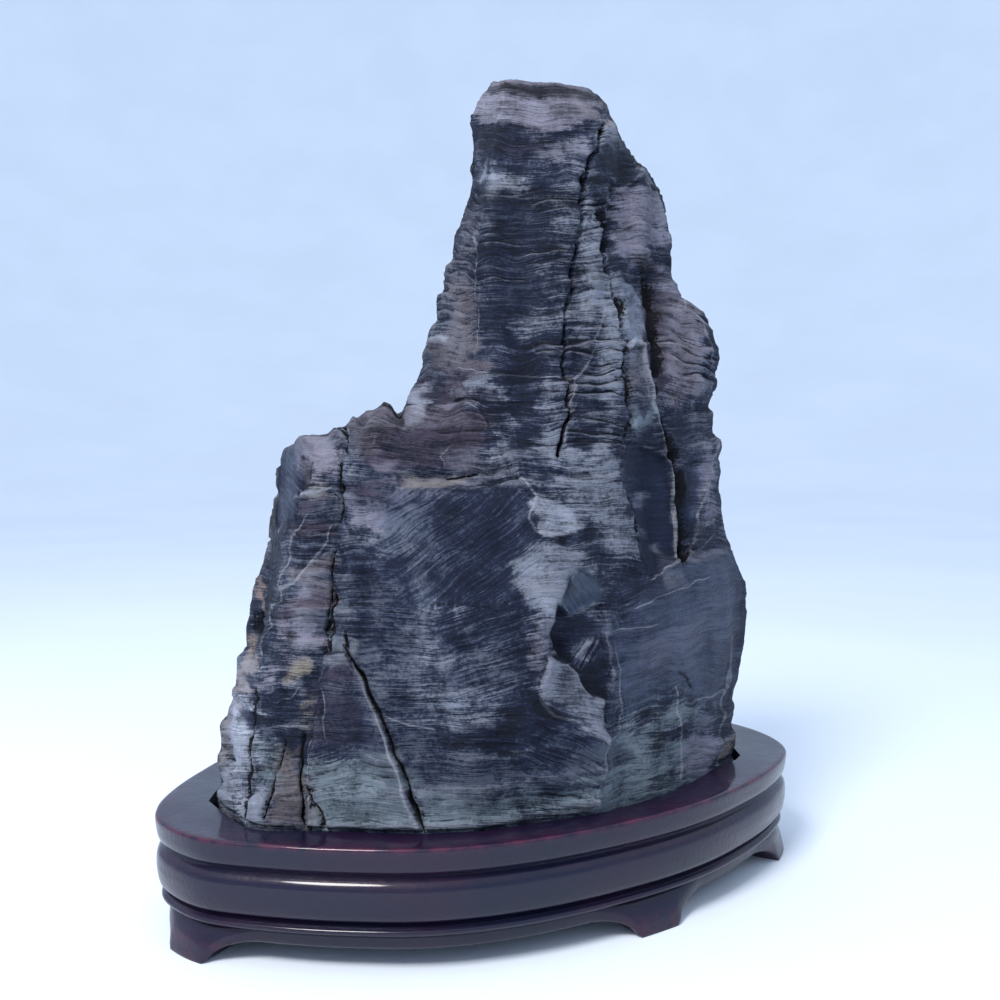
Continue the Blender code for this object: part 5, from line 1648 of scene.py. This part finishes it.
    def drawn_forms(self, points: Array, places: Array, show: Array) -> tuple:
        """The facets, swells, clefts and veins that are drawn on the show face.

        Args:
            points: the surface, in millimetres.
            places: where it is seen on the frame.
            show: each point's share in the show face, 0 to 1.

        Returns:
            the relief in millimetres, how calm the surface is, how deep the clefts are, and the two arrays
            that draw the clefts and the two that draw the veins.
        """
        ragged = places + 1.8 * self.jitter(points, 3.5, Seed.RAGGED_LINES)
        calm = np.zeros(len(points))
        relief = np.zeros(len(points))
        for facet in FACETS:
            cover = self.cover(ragged, facet.outline, facet.border) * show
            relief -= facet.sink * cover
            calm = np.maximum(calm, facet.calm * cover)
        for swell in SWELLS:
            relief += swell.rise * eased(self.along_line(places, swell.path, swell.half_width)) * show
        cracks = np.full(len(points), 9.0), np.zeros(len(points))
        opened = np.zeros(len(points))
        for crack in CRACKS:
            half_width = crack.half_width * self.crack_width
            # the crack attributes carry the painted shade inside each cleft
            gap, at = self.draw_line(ragged, crack.path, half_width, show * crack.dark, cracks)
            near = np.clip(1.35 - gap / (half_width + self.crack_lip), 0.0, 1.0)
            opened[at] = np.maximum(opened[at], crack.depth * near * show[at])
        veins = np.full(len(points), 9.0), np.zeros(len(points))
        for line in VEINS:
            half_width = line.half_width * self.vein_width
            gap, at = self.draw_line(ragged, line.path, half_width, show * line.pale, veins)
            relief[at] += line.rise * show[at] * np.clip(1.0 - gap / 1.1, 0.0, 1.0)
        return relief, calm, opened, cracks, veins

    def stains(self, points: Array, places: Array, normals: Array, show: Array) -> tuple[Array, Array, Array]:
        """The colour that stains and worn places give the surface.

        Args:
            points: the surface, in millimetres.
            places: where it is seen on the frame.
            normals: the way the surface faces.
            show: each point's share in the show face, 0 to 1.

        Returns:
            the colour, how strongly it covers, and how far it shifts the pattern of the beds.
        """
        broad = (10.0 * self.jitter(points, 16.0, Seed.BROAD_STAINS)
                 + 5.0 * self.jitter(points, 6.0, Seed.STAIN_LOBES))
        broad[:, 0] += 20.0 * layered_noise(points / (1.0, 1.0, 0.1), 24.0, 2, Seed.STAIN_DRIPS)
        ragged_edge = 2.5 * self.jitter(points, 3.0, Seed.RAGGED_STAINS)
        tint = np.tile((0.0, 0.0, 0.0), (len(points), 1))
        amount, shade = np.zeros(len(points)), np.zeros(len(points))
        for patch in PATCHES:
            blotchy = places + ragged_edge + min(1.0, patch.soft / 4.0) * broad
            cover = self.cover(blotchy, patch.outline, 1.6 * patch.soft + 0.6) * show * patch.strength
            shift = self.shade_step * math.log2(sum(patch.tone.value) / self.shade_middle)
            shade += (min(shift, self.shade_most) - shade) * cover
            cover = cover * (self.dark_cover if shift < self.dark_shift else self.pale_cover)
            tint += (np.array(patch.tone.value) - tint) * np.where(amount > 0, cover, cover > 0)[:, None]
            amount = amount + (1.0 - amount) * cover
        far = 1.0 - show
        worn_and_highlight = eased(0.25 + 1.4 * lattice_noise(points / (17.0, 17.0, 34.0), Seed.WORN_AREAS)) * far
        brown = eased(0.1 + 1.5 * lattice_noise(points / (20.0, 20.0, 26.0), Seed.BROWN_AREAS)) * far
        # MIST, TAUPE and SAGE are the far side's own tones; MAUVE on upward-facing surfaces is painted top
        # light
        for tone, cover in ((Tone.MIST, 0.5 * worn_and_highlight), (Tone.TAUPE, 0.5 * brown),
                            (Tone.SAGE, 0.6 * eased((75.0 - points[:, 2]) / 45.0) * far),
                            (Tone.MAUVE, 0.4 * eased((normals[:, 2] - 0.35) / 0.4))):
            tint += (np.array(tone.value) - tint) * np.where(amount > 0, cover, cover > 0)[:, None]
            amount = amount + (1.0 - amount) * cover
        return tint, amount, shade

    def write(self, mesh: Mesh, values: dict[str, Array], vectors: dict[str, Array], tint: Array) -> None:
        """Writes what the finish reads onto the mesh.

        Args:
            mesh: the stone's mesh.
            values: a number for each point, by name.
            vectors: a vector for each point, by name.
            tint: the colour of the stains at each point.
        """
        for name, numbers in values.items():
            mesh.attributes.new(name, "FLOAT", "POINT").data.foreach_set("value", numbers.astype(np.float32))
        for name, grain in vectors.items():
            mesh.attributes.new(name, "FLOAT_VECTOR", "POINT").data.foreach_set(
                "vector", grain.astype(np.float32).ravel())
        mesh.attributes.new("tint", "FLOAT_COLOR", "POINT").data.foreach_set(
            "color", np.column_stack((tint, np.ones(len(tint)))).astype(np.float32).ravel())

    def carve(self, made: Object) -> None:
        """Raises the beds, cuts the clefts and chips, and writes what the finish needs on the mesh.

        Args:
            made: the blocked-out stone.
        """
        mesh = made.data
        spread = self.smoothing(mesh)
        points, normals = self.smoothed(mesh, spread)
        facing = self.sight.facing(points, normals)
        places = self.sight.on_frame(points)
        show = eased((facing + 0.05) / 0.25)
        relief, calm, opened, cracks, veins = self.drawn_forms(points, places, show)
        lumps, ledges = self.broken_surface(points, facing)
        relief += self.far_side_relief(points, show) + lumps + ledges * (1.0 - 0.9 * calm)

        level, turned, share, strength = self.beds(points, places, show)
        lively = (1.0 - 0.85 * calm) * strength * (0.3 + 0.7 * eased((np.abs(facing) - 0.05) / 0.3))
        relief += lively * (self.stepped(level) * (1.0 - share) + self.stepped(turned) * share)
        relief += (1.0 - 0.6 * calm) * 0.22 * layered_noise(points, 3.0, 2, Seed.GRIT)
        relief = np.where(points[:, 2] < self.seat_rim + 1.0, np.minimum(relief, 0.0), relief)
        relief *= eased((points[:, 2] - self.foot) / 5.0)
        softer = spread(relief, 4)
        # edge and form drive the painted highlights on raised forms and edges and the painted shade in hollows
        # and creases
        edge, form = relief - softer, softer - spread(softer, 90)
        relief -= opened * eased((points[:, 2] - self.foot) / 5.0)

        tint, amount, shade = self.stains(points, places, normals, show)
        lift = np.zeros(len(points))
        for knob in KNOBS:
            away = np.hypot(*(places - knob.at).T) / knob.radius
            lift += knob.rise * eased(1.0 - away) * (points[:, 1] < 5.0)
        moved = self.sight.to_part(points + normals * relief[:, None] + lift[:, None] * (0.0, 0.0, 1.0))
        under = (moved[:, 2] < self.foot + 1.5) & (normals[:, 2] < -0.5)
        moved[under | (moved[:, 2] < self.foot), 2] = self.foot
        mesh.vertices.foreach_set("co", (moved * MM).ravel())
        mesh.update()
        self.write(mesh, {
            "calm": calm, "edge": edge, "form": form, "show": show, "crack_side": cracks[0],
            "crack_near": cracks[1], "vein_side": veins[0], "vein_near": veins[1],
            "tint_strength": amount, "shade": shade, "turned_share": share,
        }, {"level": level, "turned": turned}, tint)

    def thin(self, made: Object, front: bool, share: float) -> None:
        """Collapses edges in edit mode on one half of the stone.

        Args:
            made: the stone.
            front: True for the half that faces the viewing point.
            share: the share of that half's triangles that stay.
        """
        mesh = made.data
        show = np.empty(len(mesh.vertices), np.float32)
        mesh.attributes["show"].data.foreach_get("value", show)
        chosen = (show > 0.5) == front
        mesh.vertices.foreach_set("select", chosen)
        corners = np.empty(len(mesh.loops), np.int64)
        mesh.loops.foreach_get("vertex_index", corners)
        starts = np.empty(len(mesh.polygons), np.int64)
        mesh.polygons.foreach_get("loop_start", starts)
        edges = np.empty(len(mesh.edges) * 2, np.int64)
        mesh.edges.foreach_get("vertices", edges)
        mesh.edges.foreach_set("select", chosen[edges.reshape(-1, 2)].all(axis=1))
        mesh.polygons.foreach_set("select", np.logical_and.reduceat(chosen[corners], starts))
        bpy.ops.object.select_all(action="DESELECT")
        made.select_set(True)
        bpy.context.view_layer.objects.active = made
        bpy.ops.object.mode_set(mode="EDIT")
        bpy.ops.mesh.decimate(ratio=share)
        bpy.ops.object.mode_set(mode="OBJECT")

    def build(self) -> Object:
        """Builds the stone.

        Returns:
            its object.
        """
        made = self.block_out()
        log.info("stone skin: %d triangles", triangles(made))
        self.carve(made)
        self.thin(made, False, self.back_share)
        self.thin(made, True, self.front_share)
        made.data.shade_smooth()
        made.data.materials.clear()
        made.data.materials.append(self.finish.material())
        log.info("stone: %d triangles", triangles(made))
        return made


@dataclass
class Stand:
    """The wooden stand: one carved piece with a moulded side, feet and a seat for the stone."""

    finish: LacquerFinish
    top: float = 32.7
    body_bottom: float = 8.5
    apron_edge: float = 5.6
    apron_start: float = 9.9
    recess_floor: float = 26.0
    apron_inset: float = 12.5
    foot_flat: float = 7.5
    foot_curve: float = 13.0
    feet_at: tuple[float, ...] = (-168.5, -71.3, -21.4, 14.6, 108.7, 158.6)
    sides: int = 480
    curve_steps: int = 24
    seat_steps: int = 96
    apron_shares: tuple[float, ...] = APRON_SHARES
    apron_insets: tuple[float, ...] = APRON_INSETS
    foot_insets: tuple[float, ...] = FOOT_INSETS
    rim: Path = RIM
    moulding: Rib = MOULDING

    def curve(self) -> Array:
        """Draws the rim as a smooth closed curve.

        Returns:
            its closely spaced points.
        """
        corners = np.asarray(self.rim, float)
        before, after = np.roll(corners, 1, axis=0), np.roll(corners, -1, axis=0)
        beyond = np.roll(corners, -2, axis=0)
        dense = []
        for t in np.linspace(0.0, 1.0, self.curve_steps, endpoint=False):
            dense.append(0.5 * (2.0 * corners + (after - before) * t
                                + (2.0 * before - 5.0 * corners + 4.0 * after - beyond) * t * t
                                + (3.0 * corners - 3.0 * after + beyond - before) * t ** 3))
        return np.stack(dense, axis=1).reshape(-1, 2)

    def walk(self, curve: Array, count: int) -> tuple[Array, Array, Array, float]:
        """Walks a closed curve in even steps.

        Args:
            curve: its points.
            count: how many steps.

        Returns:
            the points, the way inwards at each, how far along each is, and the curve's length.
        """
        closed = np.vstack((curve, curve[:1]))
        along = np.concatenate(([0.0], np.cumsum(np.hypot(*np.diff(closed, axis=0).T))))
        wanted = np.linspace(0.0, along[-1], count, endpoint=False)

        def at(distance: Array) -> Array:
            """The points at these distances along the curve."""
            distance = distance % along[-1]
            return np.column_stack([np.interp(distance, along, closed[:, axis]) for axis in range(2)])

        tangent = at(wanted + 1.0) - at(wanted - 1.0)
        tangent /= np.hypot(*tangent.T)[:, None]
        return at(wanted), np.column_stack((-tangent[:, 1], tangent[:, 0])), wanted, along[-1]

    def footing(self, points: Array, wanted: Array, length: float) -> Array:
        """How much of the rim is over a foot.

        Args:
            points: points of the rim.
            wanted: how far along each is.
            length: the rim's length.

        Returns:
            a share from 0 to 1 for each point.
        """
        bearings = np.degrees(np.arctan2(points[:, 1], points[:, 0]))
        feet = [wanted[np.argmin(np.abs((bearings - at + 180.0) % 360.0 - 180.0))] for at in self.feet_at]
        gaps = np.abs((wanted[:, None] - np.array(feet) + length / 2.0) % length - length / 2.0).min(axis=1)
        away = np.clip((gaps - self.foot_flat) / self.foot_curve, 0.0, 1.0)
        return 1.0 - np.sqrt(1.0 - (1.0 - away) ** 2)

    def turned_body(self) -> Object:
        """Models the body, apron and feet, before the seat is cut.

        Returns:
            one ringed solid.
        """
        points, inwards, wanted, length = self.walk(self.curve(), self.sides)
        foot = self.footing(points, wanted, length)

        def loop(distance: Array, height: Array) -> Array:
            """A ring of points this far in from the rim, at this height."""
            moved = points + inwards * np.broadcast_to(distance, len(points))[:, None]
            return np.column_stack((moved, np.broadcast_to(height, len(moved))))

        loops = [loop(distance, height) for distance, height, _ in self.moulding]
        lower = self.apron_edge * (1.0 - foot)
        for share, apron_inset, foot_inset in zip(self.apron_shares, self.apron_insets, self.foot_insets):
            distance = apron_inset + (foot_inset - apron_inset) * np.sqrt(foot)
            loops.append(loop(distance, self.apron_start + (lower - self.apron_start) * share))
        loops.append(loop(self.apron_inset - 0.6, lower))
        loops.append(loop(self.apron_inset, lower + 0.5))
        loops.append(loop(self.apron_inset, self.body_bottom))
        loops.append(loop(30.0, self.body_bottom))
        made = ringed_primitive("stand_visual", self.sides, len(loops))
        shape_rings(made, np.array(loops), ((0.0, 0.0, self.top), (0.0, 0.0, self.body_bottom)))
        return made

    def cut_seat(self, made: Object, outline: Array) -> None:
        """Cuts the recess that the stone stands in.

        Args:
            made: the stand.
            outline: the stone's foot, (x, y).
        """
        points, inwards, _, _ = self.walk(outline, self.seat_steps)
        clear = 0.6 + 1.7 * eased((np.abs(points[:, 0]) - 62.0) / 14.0)
        wall = points - inwards * clear[:, None]
        heights = (self.top + 8.0, self.recess_floor)
        loops = [np.column_stack((wall, np.full(self.seat_steps, height))) for height in heights]
        tool = ringed_primitive("seat tool", self.seat_steps, 2)
        shape_rings(tool, np.array(loops), ((0.0, 0.0, self.top + 8.0), (0.0, 0.0, self.recess_floor)))
        boolean = made.modifiers.new("seat", "BOOLEAN")
        boolean.operation, boolean.solver, boolean.object = "DIFFERENCE", "MANIFOLD", tool
        apply_modifier(made, boolean)
        bpy.data.objects.remove(tool)

    def mark_wear_and_sheen(self, made: Object) -> None:
        """Writes the share of red, partly wear and partly painted sheen, along the rim's edge and on the
        mouldings' arrises, and a painted sheen on the top near the rim.

        Args:
            made: the stand.
        """
        mesh = made.data
        co = np.empty(len(mesh.vertices) * 3)
        mesh.vertices.foreach_get("co", co)
        heights = co.reshape(-1, 3)[:, 2] / MM
        table = sorted((height, wear_and_sheen) for _, height, wear_and_sheen in self.moulding[2:])
        wear_and_sheen = np.interp(heights, [row[0] for row in table], [row[1] for row in table])
        wear_and_sheen[heights > self.top - 0.01] = 0.0
        plan = co.reshape(-1, 3)[:, :2] / MM
        inset = distance_to_line(plan, np.vstack((self.curve(), self.curve()[:1])))
        # a red band on the top face near the rim: painted sheen
        wear_and_sheen = np.maximum(wear_and_sheen, 0.32 * eased(1.0 - inset / 9.0) * (heights > self.top - 1.0))
        wear_and_sheen = np.maximum(wear_and_sheen, eased((self.apron_edge + 0.6 - heights) / 2.0) * 0.35)
        mesh.attributes.new("wear_and_sheen", "FLOAT", "POINT").data.foreach_set("value", wear_and_sheen.astype(np.float32))

    def build(self, outline: Array) -> Object:
        """Builds the stand.

        Args:
            outline: the outline of the stone's foot, which its seat fits.

        Returns:
            its object.
        """
        made = self.turned_body()
        self.cut_seat(made, outline)
        self.mark_wear_and_sheen(made)
        bpy.ops.object.shade_smooth_by_angle(angle=math.radians(38.0))
        made.data.materials.clear()
        made.data.materials.append(self.finish.material())
        log.info("stand: %d triangles", triangles(made))
        return made


@dataclass(frozen=True)
class Studio:
    """A pale floor under a pale sky, with a broad soft light."""

    floor_radius: float = 1.8
    sweep: float = 3.4
    sweep_steps: int = 14
    floor_colour: Triple = (0.79, 0.85, 0.93)
    sky: Triple = (0.72, 0.83, 1.0)
    sky_strength: float = 1.05

    def floor(self) -> None:
        """Adds the floor, whose rim sweeps up into a wall all round."""
        bpy.ops.object.select_all(action="DESELECT")
        bpy.ops.mesh.primitive_circle_add(vertices=96, radius=self.floor_radius, fill_type="NGON")
        made = bpy.context.object
        bpy.ops.object.mode_set(mode="EDIT")
        bpy.ops.mesh.select_mode(type="EDGE")
        bpy.ops.mesh.select_all(action="SELECT")
        bpy.ops.mesh.region_to_loop()
        reach, height = self.floor_radius, 0.0
        for step in range(1, self.sweep_steps + 1):
            angle = math.radians(80.0) * step / self.sweep_steps
            out = self.floor_radius + self.sweep * math.sin(angle)
            up = self.sweep * (1.0 - math.cos(angle))
            bpy.ops.mesh.extrude_edges_move(TRANSFORM_OT_translate={"value": (0.0, 0.0, up - height)})
            bpy.ops.transform.resize(value=(out / reach, out / reach, 1.0), center_override=(0.0, 0.0, up))
            reach, height = out, up
        bpy.ops.object.mode_set(mode="OBJECT")
        made.data.shade_smooth()
        made.name = "floor"
        sheet = NodeSheet("pale_floor")
        tone = sheet.noise(sheet.place(), 3.0, 3.0, 0.5)
        sheet.feed(sheet.shader.inputs["Base Color"],
                   sheet.mixed(sheet.between(tone, 0.3, 0.7), self.floor_colour,
                               tuple(part * 1.04 for part in self.floor_colour)))
        sheet.shader.inputs["Roughness"].default_value = 0.7
        made.data.materials.append(sheet.material)

    def light(self, name: str, at: Triple, size: float, power: float, colour: Triple) -> None:
        """Adds a soft area light that looks at the stone's middle.

        Args:
            name: what it is called.
            at: where it is, in metres.
            size: how wide it is, in metres.
            power: its power in watts.
            colour: its colour.
        """
        data = bpy.data.lights.new(name, "AREA")
        data.shape, data.size, data.energy, data.color = "DISK", size, power, colour
        made = bpy.data.objects.new(name, data)
        bpy.context.scene.collection.objects.link(made)
        made.location = Vector(at)
        made.rotation_euler = (Vector((0.0, 0.0, 0.12)) - made.location).to_track_quat("-Z", "Y").to_euler()

    def build(self) -> None:
        """Adds the floor, the sky and the lights."""
        self.floor()
        world = bpy.data.worlds.new("pale sky")
        bpy.context.scene.world = world
        world.use_nodes = True
        background = world.node_tree.nodes["Background"]
        background.inputs["Color"].default_value = (*self.sky, 1.0)
        background.inputs["Strength"].default_value = self.sky_strength
        self.light("key", (-0.5, -0.35, 0.75), 0.3, 8.0, (1.0, 0.98, 0.95))
        bpy.context.scene.view_settings.view_transform = "Standard"


def main() -> None:
    """Builds the camera, the pieces and the studio."""
    logging.basicConfig(level=logging.INFO, format="%(message)s", force=True)
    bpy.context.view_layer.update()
    sight = Sight()
    sight.camera()
    stone_maker = Stone(sight, StoneFinish())
    stone = stone_maker.build()
    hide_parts("stone")
    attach(stone, "root")
    stand = Stand(LacquerFinish()).build(stone_maker.foot_outline())
    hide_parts("stand")
    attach(stand, "root")
    Studio().build()


if __name__ == "__main__":
    main()
